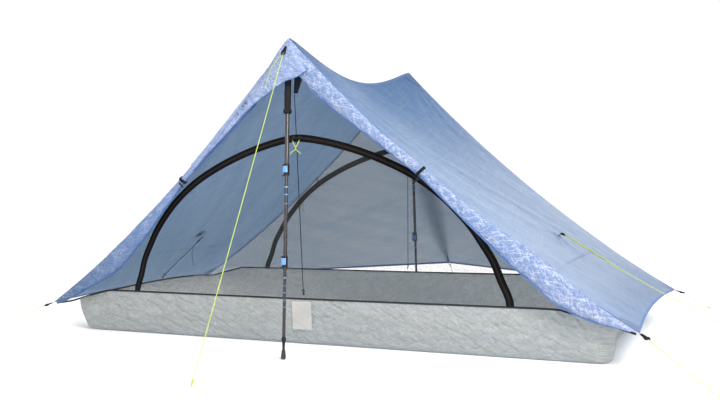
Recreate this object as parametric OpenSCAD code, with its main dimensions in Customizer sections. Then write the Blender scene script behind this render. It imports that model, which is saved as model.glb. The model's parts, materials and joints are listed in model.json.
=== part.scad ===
// Two-pole A-frame shelter, pitched: a single-wall canopy over a bathtub floor,
// with insect mesh walls, arched zip doors, a pair of trekking poles and guylines.
// X runs along the long side, -Y is the open front, +Z is up, and the origin is
// the middle of the floor's underside.

/* [Bathtub floor] */
// Length of the floor along X
floor_l = 2286; // [2240:1:2320]
// Width of the floor along Y
floor_w = 1080; // [1060:1:1090]
// Height of the rim over the ground along the long walls
rim_h = 185; // [180:1:190]
// Height of the rim at the four corners
rim_corner_h = 140; // [136:1:144]
// How far each end wall bows inward at its middle
end_bow = 45; // [30:1:50]
// How far the rim stands outside the floor's long edges
rim_flare = 18; // [16:1:20]

/* [Canopy] */
// Half of the distance between the two peaks
peak_y = 634; // [630:1:640]
// Height of the peaks
peak_z = 1187; // [1180:1:1195]
// Sag of the ridge between the peaks
ridge_sag = 107; // [80:1:110]
// Distance of the canopy corners from the middle along X
corner_x = 1242; // [1238:1:1250]
// Distance of the canopy corners from the middle along Y
corner_y = 613; // [610:1:620]
// Height of the canopy corners
corner_z = 127; // [124:1:130]
// Sag of the cut edges between a peak and a corner
edge_sag = 75; // [65:1:80]
// Inward bow of the end hems
hem_bow = 20; // [10:1:30]
// Rise of the end hems at their middle
hem_rise = 16; // [10:1:20]
// Thickness of every sheet of fabric or mesh
cloth = 1.2; // [1:0.1:1.5]

/* [Door arches] */
// Height of an arch's apex over the rim
arch_h = 628; // [620:1:636]
// Radius of each crown arc
crown_r = 1350; // [1340:1:1360]
// Radius of each haunch arc
haunch_r = 740; // [735:1:745]
// Slope of the crown arc at the apex, in degrees
apex_deg = 8; // [7:0.5:9]
// Slope at which the crown arc passes into the haunch arc, in degrees
join_deg = 27; // [26:0.5:28]
// Width of a zip's tape
zip_w = 24; // [20:1:26]

/* [Storm doors] */
// Distance of the rear doors' hooked corner from the middle
hook_y = 1220; // [1200:1:1230]
// Height of the hooked corner
hook_z = 160; // [150:1:165]

/* [Trekking poles] */
// Length of a pole from its foot to the top of its grip
pole_l = 1170; // [1160:1:1175]
// Outer diameter of the upper tube
upper_d = 16; // [16:1:17]
// Outer diameter of the middle tube
middle_d = 14; // [14:0.5:14.5]
// Outer diameter of the lower tube
lower_d = 12; // [12:0.5:12.5]
// Wall of the carbon tubes
tube_wall = 0.97; // [0.95:0.01:0.98]
// Distance from the foot to the lower lock
lower_lock = 330; // [325:1:335]
// Distance from the foot to the upper lock
upper_lock = 676; // [670:1:680]
// Height of a lock's collar
lock_h = 42; // [40:1:44]

/* [Cords] */
// Diameter of the guylines
guy_d = 3; // [2:0.5:3]
// Diameter of the suspension cords
hang_d = 3; // [2:0.5:3]

/* [Hidden] */

fl = floor_l / 2;
fw = floor_w / 2;
rim_y = fw + rim_flare;
gap = 0.4;
wall_t = 1.2;
bind_h = 10;
bind_t = 3;
mesh_lean = 3;
straight_l = 950;
// end walls are arcs of this radius
end_r = (fw * fw + end_bow * end_bow) / (2 * end_bow);
end_c = fl - end_bow + end_r;

// pole axis: the foot's centre on the ground and a point under the peak
foot_pt = [57, -838, 1.1];
top_pt = [-15, -615, 1160];
// colours
blue = "LightSteelBlue";
grey = "Silver";
net = "DimGray";
black = "Black";
carbon = "DarkSlateGray";
lime = "GreenYellow";

function lerp(a, b, u) = a + (b - a) * u;
function unit(v) = v / norm(v);
function flip_y(p) = [p.x, -p.y, p.z];
function flip_x(p) = [-p.x, p.y, p.z];

// ---- closed solids from points ----

// a sheet: a grid of points and the same grid moved by `off`
module skin(grid, off) {
    n = len(grid);
    m = len(grid[0]);
    k = n * m;
    pts = [for (row = grid) each row];
    side = cross(grid[1][0] - grid[0][0], grid[0][1] - grid[0][0]) * off;
    function id(i, j) = i * m + j;
    faces = concat(
        [for (i = [0:n - 2], j = [0:m - 2])
            each [[id(i, j), id(i + 1, j), id(i + 1, j + 1)],
                  [id(i, j), id(i + 1, j + 1), id(i, j + 1)]]],
        [for (i = [0:n - 2], j = [0:m - 2])
            each [[k + id(i, j), k + id(i + 1, j + 1), k + id(i + 1, j)],
                  [k + id(i, j), k + id(i, j + 1), k + id(i + 1, j + 1)]]],
        [for (i = [0:n - 2])
            each [[id(i, 0), k + id(i, 0), k + id(i + 1, 0)],
                  [id(i, 0), k + id(i + 1, 0), id(i + 1, 0)],
                  [id(i, m - 1), k + id(i + 1, m - 1), k + id(i, m - 1)],
                  [id(i, m - 1), id(i + 1, m - 1), k + id(i + 1, m - 1)]]],
        [for (j = [0:m - 2])
            each [[id(0, j), k + id(0, j + 1), k + id(0, j)],
                  [id(0, j), id(0, j + 1), k + id(0, j + 1)],
                  [id(n - 1, j), k + id(n - 1, j), k + id(n - 1, j + 1)],
                  [id(n - 1, j), k + id(n - 1, j + 1), id(n - 1, j + 1)]]]);
    polyhedron(concat(pts, [for (p = pts) p + off]),
               side > 0 ? faces : [for (f = faces) [f[2], f[1], f[0]]]);
}

// a solid through a row of closed rings
module loft(rings) {
    n = len(rings);
    m = len(rings[0]);
    side = cross(rings[0][1] - rings[0][0], rings[0][2] - rings[0][1])
           * (rings[1][0] - rings[0][0]);
    function id(i, j) = i * m + (j % m);
    faces = concat(
        [[for (j = [0:m - 1]) j]],
        [[for (j = [0:m - 1]) id(n - 1, m - 1 - j)]],
        [for (i = [0:n - 2], j = [0:m - 1])
            each [[id(i, j), id(i + 1, j), id(i + 1, j + 1)],
                  [id(i, j), id(i + 1, j + 1), id(i, j + 1)]]]);
    polyhedron([for (r = rings) each r],
               side > 0 ? faces : [for (f = faces) [for (q = [len(f) - 1:-1:0]) f[q]]]);
}

function heading(p, i) =
    unit(p[min(i + 1, len(p) - 1)] - p[max(i - 1, 0)]);

// a round tube along a route; `ref` is any direction that the route never takes
module tube(path, d, ref = [0, 1, 0], sides = 8) {
    loft([for (i = [0:len(path) - 1])
        let (t = heading(path, i), u = unit(cross(ref, t)), v = cross(t, u))
        [for (k = [0:sides - 1])
            path[i] + d / 2 * (u * cos(k * 360 / sides) + v * sin(k * 360 / sides))]]);
}

// a flat strip along a route, `wide` up and `thick` across
module strip(path, wide, thick) {
    loft([for (i = [0:len(path) - 1])
        let (t = heading(path, i), u = unit(cross([0, 0, 1], t)), v = [0, 0, 1])
        [path[i] - u * thick / 2 - v * wide / 2, path[i] + u * thick / 2 - v * wide / 2,
         path[i] + u * thick / 2 + v * wide / 2, path[i] - u * thick / 2 + v * wide / 2]]);
}

// ---- canopy surface: s runs from ridge to hem, t from front (-1) to rear (1) ----
function ridge_z(t) = peak_z - ridge_sag * pow(1 - t * t, 1.3);
function hem_x(t) = corner_x - hem_bow * (1 - t * t);
function hem_z(t) = corner_z + hem_rise * (1 - t * t);
function slack(s, t) = edge_sag * 4 * s * (1 - s) * (0.4 + 0.6 * t * t);
function edge_y(s) = lerp(peak_y, corner_y, s);
function canopy_pt(s, t) =
    [s * hem_x(t), t * edge_y(s), lerp(ridge_z(t), hem_z(t), s) - slack(s, t)];

module canopy_right() color(blue)
    skin([for (s = [0:1 / 12:1.001]) [for (t = [-1:1 / 8:1.001])
        canopy_pt(lerp(0.0015, 1, min(s, 1)), min(t, 1))]], slope_up * cloth);

module canopy_left() color(blue) mirror([1, 0, 0]) canopy_right();

module ridge_seam() color(blue)
    skin([for (x = [-12, 0, 12]) [for (t = [-0.97:0.97 / 8:0.9701])
        canopy_pt(abs(x) / corner_x, t) + [x - abs(x), 0, cloth * 1.4 + 3 * gap]]], [0, 0, 1]);

// stiff fins under the ridge, one beside each pole's grip, that the hanging cords start from
module peak_gussets() color(black)
    for (side = [0, 1]) mirror([0, side, 0])
        translate([3, 0, 0]) rotate([90, 0, -90]) linear_extrude(6)
            polygon([[599, 1040], [607, 979], [578, 982], [500, 1100], [505, ridge_z(505 / peak_y) - 6],
                     [596, ridge_z(596 / peak_y) - 6]]);

// ---- storm doors ----
// half width of the furled door at s along the canopy's edge
function furl_w(s) = 10 + 20 * exp(-pow((s - 0.07) / 0.16, 2)) + 24 * exp(-pow((s - 0.75) / 0.17, 2))
    - 12 * max(0, s - 0.9) / 0.1;
slope_up = unit([peak_z - corner_z, 0, corner_x]);
// how far a furled door's top stands in front of the canopy's edge, clear of the grip
peak_shift = 28;

module front_door_right() color(blue)
    loft([for (s = [0.045:0.915 / 17:0.9601])
        let (p = canopy_pt(s, -1), w = furl_w(s), c = p - slope_up * (w + 7) - [0, 1 + peak_shift * exp(-pow(s / 0.12, 2)), 0])
        [for (k = [0:9]) c + slope_up * w * cos(k * 36) + [0, 11 * sin(k * 36), 0]]]);

module front_door_left() color(blue) mirror([1, 0, 0]) front_door_right();

// a closed rear door: ruled between the canopy's edge and the free edge
function rear_free(v) = lerp([2, peak_y + 6, peak_z - 4], [2, hook_y - 8, hook_z + 10], v);
function rear_edge(v) = canopy_pt(lerp(0.012, 0.985, v), 1) + [0, 5, -2];
rear_out = unit([0.40, 0.80, 0.45]) * cloth;

module rear_door_right() color(blue)
    skin([for (u = [0:1 / 4:1.001]) [for (v = [0.03:0.97 / 8:1.0001])
        lerp(rear_edge(v), rear_free(v), min(u, 1))]], rear_out);

module rear_door_left() color(blue) mirror([1, 0, 0]) rear_door_right();

// ---- bathtub ----
module tub_floor() color(grey)
    linear_extrude(wall_t) difference() {
        square([floor_l, floor_w], center = true);
        for (side = [-1, 1]) translate([side * end_c, 0]) circle(r = end_r, $fn = 720);
    }

wall_h = norm([rim_h - bind_h - wall_t, rim_flare]);
module tub_wall_rear() color(grey)
    translate([0, fw, wall_t + gap]) rotate([90 - atan(rim_flare / rim_h), 0, 0])
        linear_extrude(wall_t)
            polygon([[-fl, 0], [fl, 0], [fl, rim_corner_h - bind_h - 3],
                     [straight_l, wall_h - 1.5], [-straight_l, wall_h - 1.5],
                     [-fl, rim_corner_h - bind_h - 3]]);

module tub_wall_front() color(grey) mirror([0, 1, 0]) tub_wall_rear();

module tub_end_right() color(grey)
    intersection() {
        translate([end_c, 0, wall_t + gap]) difference() {
            cylinder(r = end_r, h = rim_h, $fn = 720);
            translate([0, 0, -1]) cylinder(r = end_r - wall_t, h = rim_h + 2, $fn = 720);
        }
        translate([fl - 100, 0, 0]) rotate([90, 0, 90]) linear_extrude(100 - gap)
            polygon([[-fw + 4, 0], [fw - 4, 0], [fw - 4, rim_corner_h - bind_h - 2],
                     [0, rim_h - 25], [-fw + 4, rim_corner_h - bind_h - 2]]);
    }

module tub_end_left() color(grey) mirror([1, 0, 0]) tub_end_right();

// tape round the rim, drawn on past the tub to the canopy's corners
long_rim = [[-corner_x + 12, -corner_y + 4, corner_z - 6], [-fl - 5, -rim_y + 6, rim_corner_h - 4],
            [-fl + 90, -rim_y, rim_h - 22], [-straight_l, -rim_y - 1, rim_h - 3], [0, -rim_y - 1, rim_h - 4],
            [straight_l, -rim_y - 1, rim_h - 3], [fl - 90, -rim_y, rim_h - 22],
            [fl + 5, -rim_y + 6, rim_corner_h - 4], [corner_x - 12, -corner_y + 4, corner_z - 6]];
end_rim = [[fl - 2, -fw + 8, rim_corner_h - 3], [fl - end_bow * 0.62, -fw * 0.55, rim_h - 26],
           [fl - end_bow, 0, rim_h - 17], [fl - end_bow * 0.62, fw * 0.55, rim_h - 26],
           [fl - 2, fw - 8, rim_corner_h - 3]];
module rim_binding() color(black) {
    for (side = [0, 1]) mirror([0, side, 0]) strip(long_rim, bind_h, bind_t);
    for (side = [0, 1]) mirror([side, 0, 0]) strip(end_rim, bind_h, bind_t);
}

// ---- mesh walls; drawn flat as x and height over the rim, then stood up ----
// stands a flat drawing up as the front wall, its outer face towards -Y
module as_wall(rear = 0) mirror([0, rear, 0])
    translate([0, -rim_y, rim_h]) rotate([90 + mesh_lean, 0, 0]) children();

crown_c = [-crown_r * sin(apex_deg), arch_h - crown_r * cos(apex_deg)];
haunch_c = crown_c + (crown_r - haunch_r) * [sin(join_deg), cos(join_deg)];
function on_crown(deg, out) = crown_c + (crown_r + out) * [sin(deg), cos(deg)];
function on_haunch(deg, out) = haunch_c + (haunch_r + out) * [sin(deg), cos(deg)];
// angle at which the haunch, moved out by `out`, meets height v
function foot_deg(out, v) = acos((v - haunch_c.y) / (haunch_r + out));
// angle at which the crown, moved out by `out`, meets the middle line
function apex_at(out) = asin(-crown_c.x / (crown_r + out));
// right half of an arch, from the apex down to height v
function arch_half(out, v) = concat(
    [for (k = [0:12]) on_crown(lerp(apex_at(out), join_deg, k / 12), out)],
    [for (k = [1:24]) on_haunch(lerp(join_deg, foot_deg(out, v), k / 24), out)]);
function both_halves(half) = concat(half, [for (i = [len(half) - 1:-1:1]) [-half[i].x, half[i].y]]);

// height over the rim of the canopy's underside above x, at the mesh wall
function under_canopy(x) =
    let (s = x / hem_x(0.95), p = canopy_pt(s, 0.95)) (p.z - rim_h - 6);
wall_top = [for (x = [112:72:1048]) [x, under_canopy(x)]];

module mesh_wall_front() color(net)
    as_wall() translate([0, 0, -cloth / 2]) linear_extrude(cloth) difference() {
        polygon(concat([[8, 785], [8, under_canopy(112)]], wall_top,
                       [[1100, 20], [1090, -12], [straight_l, 3], [-straight_l, 3],
                        [-1090, -12], [-1100, 20]],
                       [for (i = [len(wall_top) - 1:-1:0]) [-wall_top[i].x, wall_top[i].y]],
                       [[-8, under_canopy(112)], [-8, 785]]));
        polygon(both_halves(concat(arch_half(zip_w / 2 + 0.5, 0),
                                   [[foot_pt_x(zip_w / 2 + 0.5), -40]])));
    }
function foot_pt_x(out) = on_haunch(foot_deg(out, 0), out).x;

module mesh_wall_rear() color(net) mirror([0, 1, 0]) mesh_wall_front();

module mesh_door_front() color(net)
    as_wall() translate([0, 0, -cloth / 2]) linear_extrude(cloth)
        polygon(both_halves(arch_half(-zip_w / 2 - 2, 4)));

module mesh_door_rear() color(net) mirror([0, 1, 0]) mesh_door_front();

// mesh between an end's rim and the canopy's hem
function end_inner(t) = [fl + 6 - (end_bow - 4) * (1 - t * t), t * (fw - 20), rim_corner_h + 26 * (1 - t * t) + 3];
function end_outer(t) = canopy_pt(0.985, t * 0.88) + [0, 0, -4];
module mesh_ends() color(net)
    for (side = [0, 1]) mirror([side, 0, 0])
        skin([for (u = [0, 0.5, 1]) [for (t = [-1:1 / 5:1.001])
            lerp(end_inner(min(t, 1)), end_outer(min(t, 1)), u)]], [0, 0, cloth]);

// ---- zips ----
zip_t = 2.4;
coil_t = 1.2;
// an arc of tape with its raised coil: centre, radius and the two angles from the vertical
module zip_arc(c, r, from, to)
    translate([c.x, c.y, 0]) rotate([0, 0, 90 - to]) rotate_extrude(angle = to - from, $fn = 360) {
        translate([r - zip_w / 2, -zip_t / 2]) square([zip_w, zip_t]);
        translate([r - 3, zip_t / 2]) square([6, coil_t]);
    }

module zip_track_front() color(black) as_wall()
    for (side = [0, 1]) mirror([side, 0, 0]) {
        zip_arc(crown_c, crown_r, apex_deg, join_deg);
        zip_arc(haunch_c, haunch_r, join_deg, foot_deg(0, 0) - 1);
    }

module zip_track_rear() color(black) mirror([0, 1, 0]) zip_track_front();

// slider with its cord pull, at `deg` on an arc
slider_l = 17;
module slider(c, r, deg) translate([c.x, c.y, 0]) rotate([0, 0, -deg]) translate([0, r, 0]) {
    difference() {
        translate([-slider_l / 2, -7, zip_t / 2 + gap]) cube([slider_l, 14, 5]);
        translate([-slider_l / 2 - 1, -3 - gap, 0]) cube([slider_l + 2, 6 + 2 * gap, zip_t / 2 + coil_t + gap]);
    }
    translate([0, 0, zip_t / 2 + 7.4]) rotate([0, 0, deg]) rotate([90, 0, 0]) cylinder(d = 4, h = 44, $fn = 24);
}

// resting angles of the four sliders
front_park = apex_deg + 0.6;
rear_upper_park = 43;
rear_lower_park = 44.6;
module front_slider_right() color(black) as_wall() slider(crown_c, crown_r, front_park);
module front_slider_left() color(black) mirror([1, 0, 0]) front_slider_right();
module rear_slider_upper() color(black) mirror([1, 0, 0]) as_wall(1) slider(haunch_c, haunch_r, rear_upper_park);
module rear_slider_lower() color(black) mirror([1, 0, 0]) as_wall(1) slider(haunch_c, haunch_r, rear_lower_park);

// ---- trekking poles; drawn upright with the foot at the origin ----
pole_run = top_pt - foot_pt;
pole_tilt = acos(pole_run.z / norm(pole_run));
pole_turn = atan2(pole_run.y, pole_run.x);
lever_turn = 160 - pole_turn;
// the rear pole is the front one turned half round Z
module on_pole(rear = 0) rotate([0, 0, 180 * rear])
    translate(foot_pt) rotate([0, pole_tilt, pole_turn]) children();

module pipe(d, wall, low, high) difference() {
    translate([0, 0, low]) cylinder(d = d, h = high - low, $fn = 64);
    translate([0, 0, low - 1]) cylinder(d = d - 2 * wall, h = high - low + 2, $fn = 64);
}

grip_low = 912;
tube_top = 1130;
middle_top = 800;
lower_top = 460;
ferrule_low = 33;
ferrule_top = 80;

module grip() difference() {
    translate([0, 0, 0]) rotate_extrude($fn = 96)
        polygon([[0, grip_low], [9, grip_low], [16, grip_low + 7], [16.5, grip_low + 14], [12.5, grip_low + 24],
                 [13, grip_low + 60], [12, grip_low + 66], [13, grip_low + 72], [13, grip_low + 100],
                 [12, grip_low + 106], [13, grip_low + 112], [13, grip_low + 140], [12, grip_low + 146],
                 [13.5, grip_low + 153], [14, grip_low + 190], [16, grip_low + 205], [17, grip_low + 225],
                 [14, grip_low + 245], [7, grip_low + 255], [0, grip_low + 258]]);
    translate([0, 0, grip_low - 1]) cylinder(d = upper_d, h = tube_top - grip_low + 1, $fn = 64);
}
module front_grip() color(black) on_pole() grip();
module rear_grip() color(black) on_pole(1) grip();

module upper_tube() pipe(upper_d, (upper_d - middle_d) / 2 - 0.03, upper_lock, tube_top);
module front_upper_tube() color(carbon) on_pole() upper_tube();
module rear_upper_tube() color(carbon) on_pole(1) upper_tube();

// a lock's collar carries two lugs and the pin that its lever turns on
pin_r = 1.8;
lug_h = 4;
pin_x = 16.5;
module collar(d, low) {
    difference() {
        union() {
            translate([0, 0, low]) cylinder(d = d + 6, h = lock_h, $fn = 64);
            for (z = [low, low + lock_h - lug_h]) translate([0, -4.5, z]) cube([pin_x + 3.5, 9, lug_h]);
        }
        translate([0, 0, low - 1]) cylinder(d = d, h = lock_h + 2, $fn = 64);
    }
    translate([pin_x, 0, low]) cylinder(r = pin_r, h = lock_h, $fn = 32);
}

// the lever wraps half round the collar from its pin
module lever(d, low) difference() {
    union() {
        translate([pin_x, 0, low + lug_h + gap]) cylinder(r = 4, h = lock_h - 2 * lug_h - 2 * gap, $fn = 32);
        translate([0, 0, low + 9]) difference() {
            cylinder(d = d + 14, h = lock_h - 18, $fn = 64);
            translate([0, 0, -1]) cylinder(d = d + 7, h = lock_h, $fn = 64);
            translate([-40, -80, -1]) cube([80, 80, lock_h]);
            rotate([0, 0, 150]) translate([-40, 0, -1]) cube([80, 40, lock_h]);
        }
        translate([d / 2 + 3.5, 0, low + 9]) cube([pin_x - d / 2 - 3.5, 3.5, lock_h - 18]);
    }
    translate([pin_x, 0, low]) cylinder(r = pin_r + 0.05, h = lock_h, $fn = 32);
}

// turned so that both poles' levers face the same way
module on_lock(rear = 0) on_pole(rear) rotate([0, 0, lever_turn + 180 * rear]) children();
module upper_collars() color(black) for (rear = [0, 1]) on_lock(rear) collar(upper_d, upper_lock);
module front_upper_lever() color("CornflowerBlue") on_lock() lever(upper_d, upper_lock);
module rear_upper_lever() color("CornflowerBlue") on_lock(1) lever(upper_d, upper_lock);

module middle_tube() pipe(middle_d, (middle_d - lower_d) / 2 - 0.03, lower_lock, middle_top);
module front_middle_tube() color(carbon) on_pole() middle_tube();
module rear_middle_tube() color(carbon) on_pole(1) middle_tube();

module front_lower_collar() color(black) on_lock() collar(middle_d, lower_lock);
module rear_lower_collar() color(black) on_lock(1) collar(middle_d, lower_lock);
module front_lower_lever() color("CornflowerBlue") on_lock() lever(middle_d, lower_lock);
module rear_lower_lever() color("CornflowerBlue") on_lock(1) lever(middle_d, lower_lock);

module lower_tube() pipe(lower_d, tube_wall, ferrule_top, lower_top);
module front_lower_tube() color(carbon) on_pole() lower_tube();
module rear_lower_tube() color(carbon) on_pole(1) lower_tube();

module ferrule() rotate_extrude($fn = 64)
    polygon([[0, ferrule_low], [4.5, ferrule_low], [5.5, ferrule_low + 24], [6, ferrule_low + 30],
             [8.5, ferrule_low + 33], [8.5, ferrule_low + 42], [6, ferrule_low + 45], [6, ferrule_top],
             [0, ferrule_top]]);
module front_ferrule() color(black) on_pole() ferrule();
module rear_ferrule() color(black) on_pole(1) ferrule();

module rubber_foot() rotate_extrude($fn = 64)
    polygon([[0, 0], [5.5, 0], [8, 1.8], [9, 5], [9, 12], [7.6, 22], [6.5, ferrule_low], [0, ferrule_low]]);
module front_foot() color(black) on_pole() rubber_foot();
module rear_foot() color(black) on_pole(1) rubber_foot();

// ---- tie-outs: [where the webbing leaves the cloth, where the guyline starts, where it ends] ----
peak_tie = [[0, -peak_y - 4, peak_z - 12], [0, -690, 1118], [0, -1330, 1.6]];
front_right_tie = [[corner_x + 3, -corner_y - 3, corner_z - 2], [1272, -642, 111], [1510, -960, 1.6]];
front_left_tie = [flip_x(front_right_tie[0]), flip_x(front_right_tie[1]), [-1400, -900, 1.6]];
rear_right_tie = [flip_y(front_right_tie[0]), flip_y(front_right_tie[1]), [1360, 1000, 1.6]];
rear_left_tie = [flip_x(rear_right_tie[0]), flip_x(rear_right_tie[1]), [-1450, 960, 1.6]];
side_tie = [[862, 0, 397], [892, 0, 402], [1620, 0, 1.6]];
function mirrored_y(t) = [for (p = t) flip_y(p)];
function mirrored_x(t) = [for (p = t) flip_x(p)];
ties = [peak_tie, mirrored_y(peak_tie), front_left_tie, front_right_tie, rear_left_tie, rear_right_tie,
        mirrored_x(side_tie), side_tie];

lineloc_l = 18;
// a buckle at the start of each guyline
module linelocs() color(black) for (t = ties)
    let (run = unit(t[2] - t[1]))
    translate(t[1]) rotate([0, acos(run.z), atan2(run.y, run.x)])
        translate([0, 0, -lineloc_l / 2 - 2]) difference() {
            cube([9, 16, lineloc_l], center = true);
            translate([0, 0, -3]) cube([12, 9, 5], center = true);
        }

// a loop of webbing from the cloth to each buckle
module tie_out_tabs() color(black) for (t = ties)
    let (run = t[1] - t[0], back = unit(t[1] - t[2]), to = t[1] + back * (lineloc_l + 9), d = to - t[0])
    translate(t[0]) rotate([0, acos(d.z / norm(d)), atan2(d.y, d.x)])
        translate([-0.8, -5, 1]) cube([1.6, 10, max(6, norm(d) - 2)]);

// elastic loops with a bar: two round the furled doors, two hanging on the rear edges
toggle_s = 0.42;
module door_toggles() color(black)
    for (side = [0, 1]) mirror([side, 0, 0]) {
        translate(canopy_pt(toggle_s, -1) + [-12, -22, -32]) rotate([0, 45, 0]) cylinder(d = 6, h = 30, center = true, $fn = 24);
        translate(canopy_pt(toggle_s, 0.96) + [-12, 0, -26]) rotate([0, 45, 0]) cylinder(d = 6, h = 30, center = true, $fn = 24);
    }

// ---- guylines and hanging cords ----
// a taut line with a little sag
function line_route(a, b, sag) =
    [for (u = [0, 0.03, 0.25, 0.5, 0.75, 0.97, 1]) lerp(a, b, u) - [0, 0, sag * 4 * u * (1 - u)]];
module guy(t, sag = 2) color(lime) tube(line_route(t[1], t[2], sag), guy_d, ref = [0.2, 0.3, 1]);
module guy_front_peak() guy(peak_tie);
module guy_rear_peak() guy(mirrored_y(peak_tie));
module guy_front_left() guy(front_left_tie);
module guy_front_right() guy(front_right_tie);
module guy_rear_left() guy(rear_left_tie);
module guy_rear_right() guy(rear_right_tie);
module guy_side_left() guy(mirrored_x(side_tie), 20);
module guy_side_right() guy(side_tie, 20);

// elastic from a peak's gusset down to the rim
long_hang = [[0, -604, 976], [0, -590, 700], [0, -578, 450], [0, -566, 210]];
// cord from the middle of a slope down to the rim of the end wall
end_hang = [[852, 0, 385], [900, 0, 345], [1000, 0, 264], [1091, 0, 189]];
module hang_front() color(black) tube(long_hang, hang_d);
module hang_rear() color(black) tube([for (p = long_hang) flip_y(p)], hang_d);
module hang_right() color(black) tube(end_hang, hang_d);
module hang_left() color(black) tube([for (p = end_hang) flip_x(p)], hang_d);

// small hooks: four at the rim, and one that joins the rear doors to their guyline
module hook(tall) difference() {
    translate([-6, -2.5, -tall]) cube([12, 5, tall]);
    translate([-3, -4, -tall + 4]) cube([6, 8, tall - 10]);
}
module cord_hooks() color(black) {
    for (side = [0, 1]) mirror([0, side, 0]) translate([0, -566, 208]) hook(21);
    for (side = [0, 1]) mirror([side, 0, 0]) translate([1092, 0, 187]) rotate([0, 0, 90]) hook(19);
    translate([0, hook_y + 6, hook_z + 8]) rotate([-30, 0, 0]) translate([0, -3, 4]) hook(34);
}

canopy_left();
canopy_right();
ridge_seam();
peak_gussets();
front_door_left();
front_door_right();
rear_door_left();
rear_door_right();
tub_floor();
tub_wall_front();
tub_wall_rear();
tub_end_left();
tub_end_right();
rim_binding();
mesh_wall_front();
mesh_wall_rear();
mesh_door_front();
mesh_door_rear();
mesh_ends();
zip_track_front();
zip_track_rear();
front_slider_left();
front_slider_right();
rear_slider_upper();
rear_slider_lower();
front_grip();
rear_grip();
front_upper_tube();
rear_upper_tube();
upper_collars();
front_upper_lever();
rear_upper_lever();
front_middle_tube();
rear_middle_tube();
front_lower_collar();
rear_lower_collar();
front_lower_lever();
rear_lower_lever();
front_lower_tube();
rear_lower_tube();
front_ferrule();
rear_ferrule();
front_foot();
rear_foot();
linelocs();
tie_out_tabs();
door_toggles();
cord_hooks();
guy_front_peak();
guy_rear_peak();
guy_front_left();
guy_front_right();
guy_rear_left();
guy_rear_right();
guy_side_left();
guy_side_right();
hang_front();
hang_rear();
hang_left();
hang_right();
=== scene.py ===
"""The looks of the pitched A-frame tent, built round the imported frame."""
import json
import math

import bpy
import numpy as np
from mathutils import Matrix, Vector

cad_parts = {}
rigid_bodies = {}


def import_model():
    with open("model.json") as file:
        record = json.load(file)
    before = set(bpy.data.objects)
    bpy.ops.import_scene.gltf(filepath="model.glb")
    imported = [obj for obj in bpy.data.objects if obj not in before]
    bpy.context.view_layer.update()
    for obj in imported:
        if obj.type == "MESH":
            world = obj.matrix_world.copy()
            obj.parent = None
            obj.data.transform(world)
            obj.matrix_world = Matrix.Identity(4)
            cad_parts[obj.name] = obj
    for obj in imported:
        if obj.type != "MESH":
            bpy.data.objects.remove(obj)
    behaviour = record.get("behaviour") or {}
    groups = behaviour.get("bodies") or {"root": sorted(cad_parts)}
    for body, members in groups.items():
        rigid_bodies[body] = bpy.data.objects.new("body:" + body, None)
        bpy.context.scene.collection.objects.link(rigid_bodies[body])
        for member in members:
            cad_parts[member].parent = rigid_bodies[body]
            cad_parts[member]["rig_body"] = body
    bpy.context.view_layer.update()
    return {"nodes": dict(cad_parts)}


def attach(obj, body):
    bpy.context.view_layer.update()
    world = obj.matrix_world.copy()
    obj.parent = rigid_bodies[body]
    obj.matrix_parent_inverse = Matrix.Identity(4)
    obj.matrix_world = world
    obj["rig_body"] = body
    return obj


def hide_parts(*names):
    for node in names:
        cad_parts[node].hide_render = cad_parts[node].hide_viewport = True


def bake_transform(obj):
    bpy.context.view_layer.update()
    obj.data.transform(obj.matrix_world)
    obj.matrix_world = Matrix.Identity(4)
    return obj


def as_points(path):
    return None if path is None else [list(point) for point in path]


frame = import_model()
ROOT = "shelter"

# ---------------------------------------------------------------- sizes, in metres, as in part.scad
FL, FW = 1.143, 0.540
RIM_Y, RIM_H, BOW = 0.558, 0.185, 0.045
PEAK_Y, PEAK_Z, RIDGE_SAG = 0.634, 1.187, 0.107
CX, CY, CZ = 1.242, 0.613, 0.127
EDGE_SAG, HEM_BOW, HEM_RISE = 0.075, 0.020, 0.016
LEAN = math.radians(3)
CROWN_R, HAUNCH_R, ARCH_H = 1.350, 0.740, 0.628
APEX, JOIN = math.radians(8), math.radians(27)
FOOT, TOP = np.array([0.057, -0.838, 0.0011]), np.array([-0.015, -0.615, 1.160])
UP = np.array([PEAK_Z - CZ, 0, CX]) / math.hypot(PEAK_Z - CZ, CX)      # out of the right slope
SLOPE_LENGTH = 1.63                      # ridge to hem, along the cloth
SIDES = (("right", 1), ("left", -1))


# ---------------------------------------------------------------- small helpers
def lerp(a, b, u):
    return a + (b - a) * u


def smooth(x, a=0.0, b=1.0):
    u = np.clip((np.asarray(x, float) - a) / (b - a), 0, 1)
    return u * u * (3 - 2 * u)


def stack(*parts):
    return np.stack(parts, -1)


def unit(v):
    v = np.asarray(v, float)
    return v / np.maximum(np.linalg.norm(v, axis=-1, keepdims=True), 1e-12)


def lattice(i, j, k, seed):
    """A fixed value from -1 to 1 for each whole-numbered point."""
    h = (i * 374761393 + j * 668265263 + k * 2147483647 + seed * 974711) & 0xFFFFFFFF
    h = ((h ^ (h >> 13)) * 1274126177) & 0xFFFFFFFF
    return ((h ^ (h >> 16)) & 0xFFFF) / 32767.5 - 1.0


def rumple(p, seed=1, octaves=3):
    """Smooth noise from -1 to 1 at points p (..., 3)."""
    p = np.asarray(p, float)
    total, size, reach = 0.0, 1.0, 0.0
    for o in range(octaves):
        q = p * (2.0 ** o) + 17.3 * o
        c = np.floor(q)
        f = q - c
        f = f * f * (3 - 2 * f)
        c = c.astype(np.int64)
        v = 0.0
        for dx in (0, 1):
            for dy in (0, 1):
                for dz in (0, 1):
                    w = (f[..., 0] if dx else 1 - f[..., 0]) * (f[..., 1] if dy else 1 - f[..., 1]) \
                        * (f[..., 2] if dz else 1 - f[..., 2])
                    v = v + w * lattice(c[..., 0] + dx, c[..., 1] + dy, c[..., 2] + dz, seed + o)
        total, reach, size = total + v * size, reach + size, size * 0.5
    return total / reach


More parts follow.
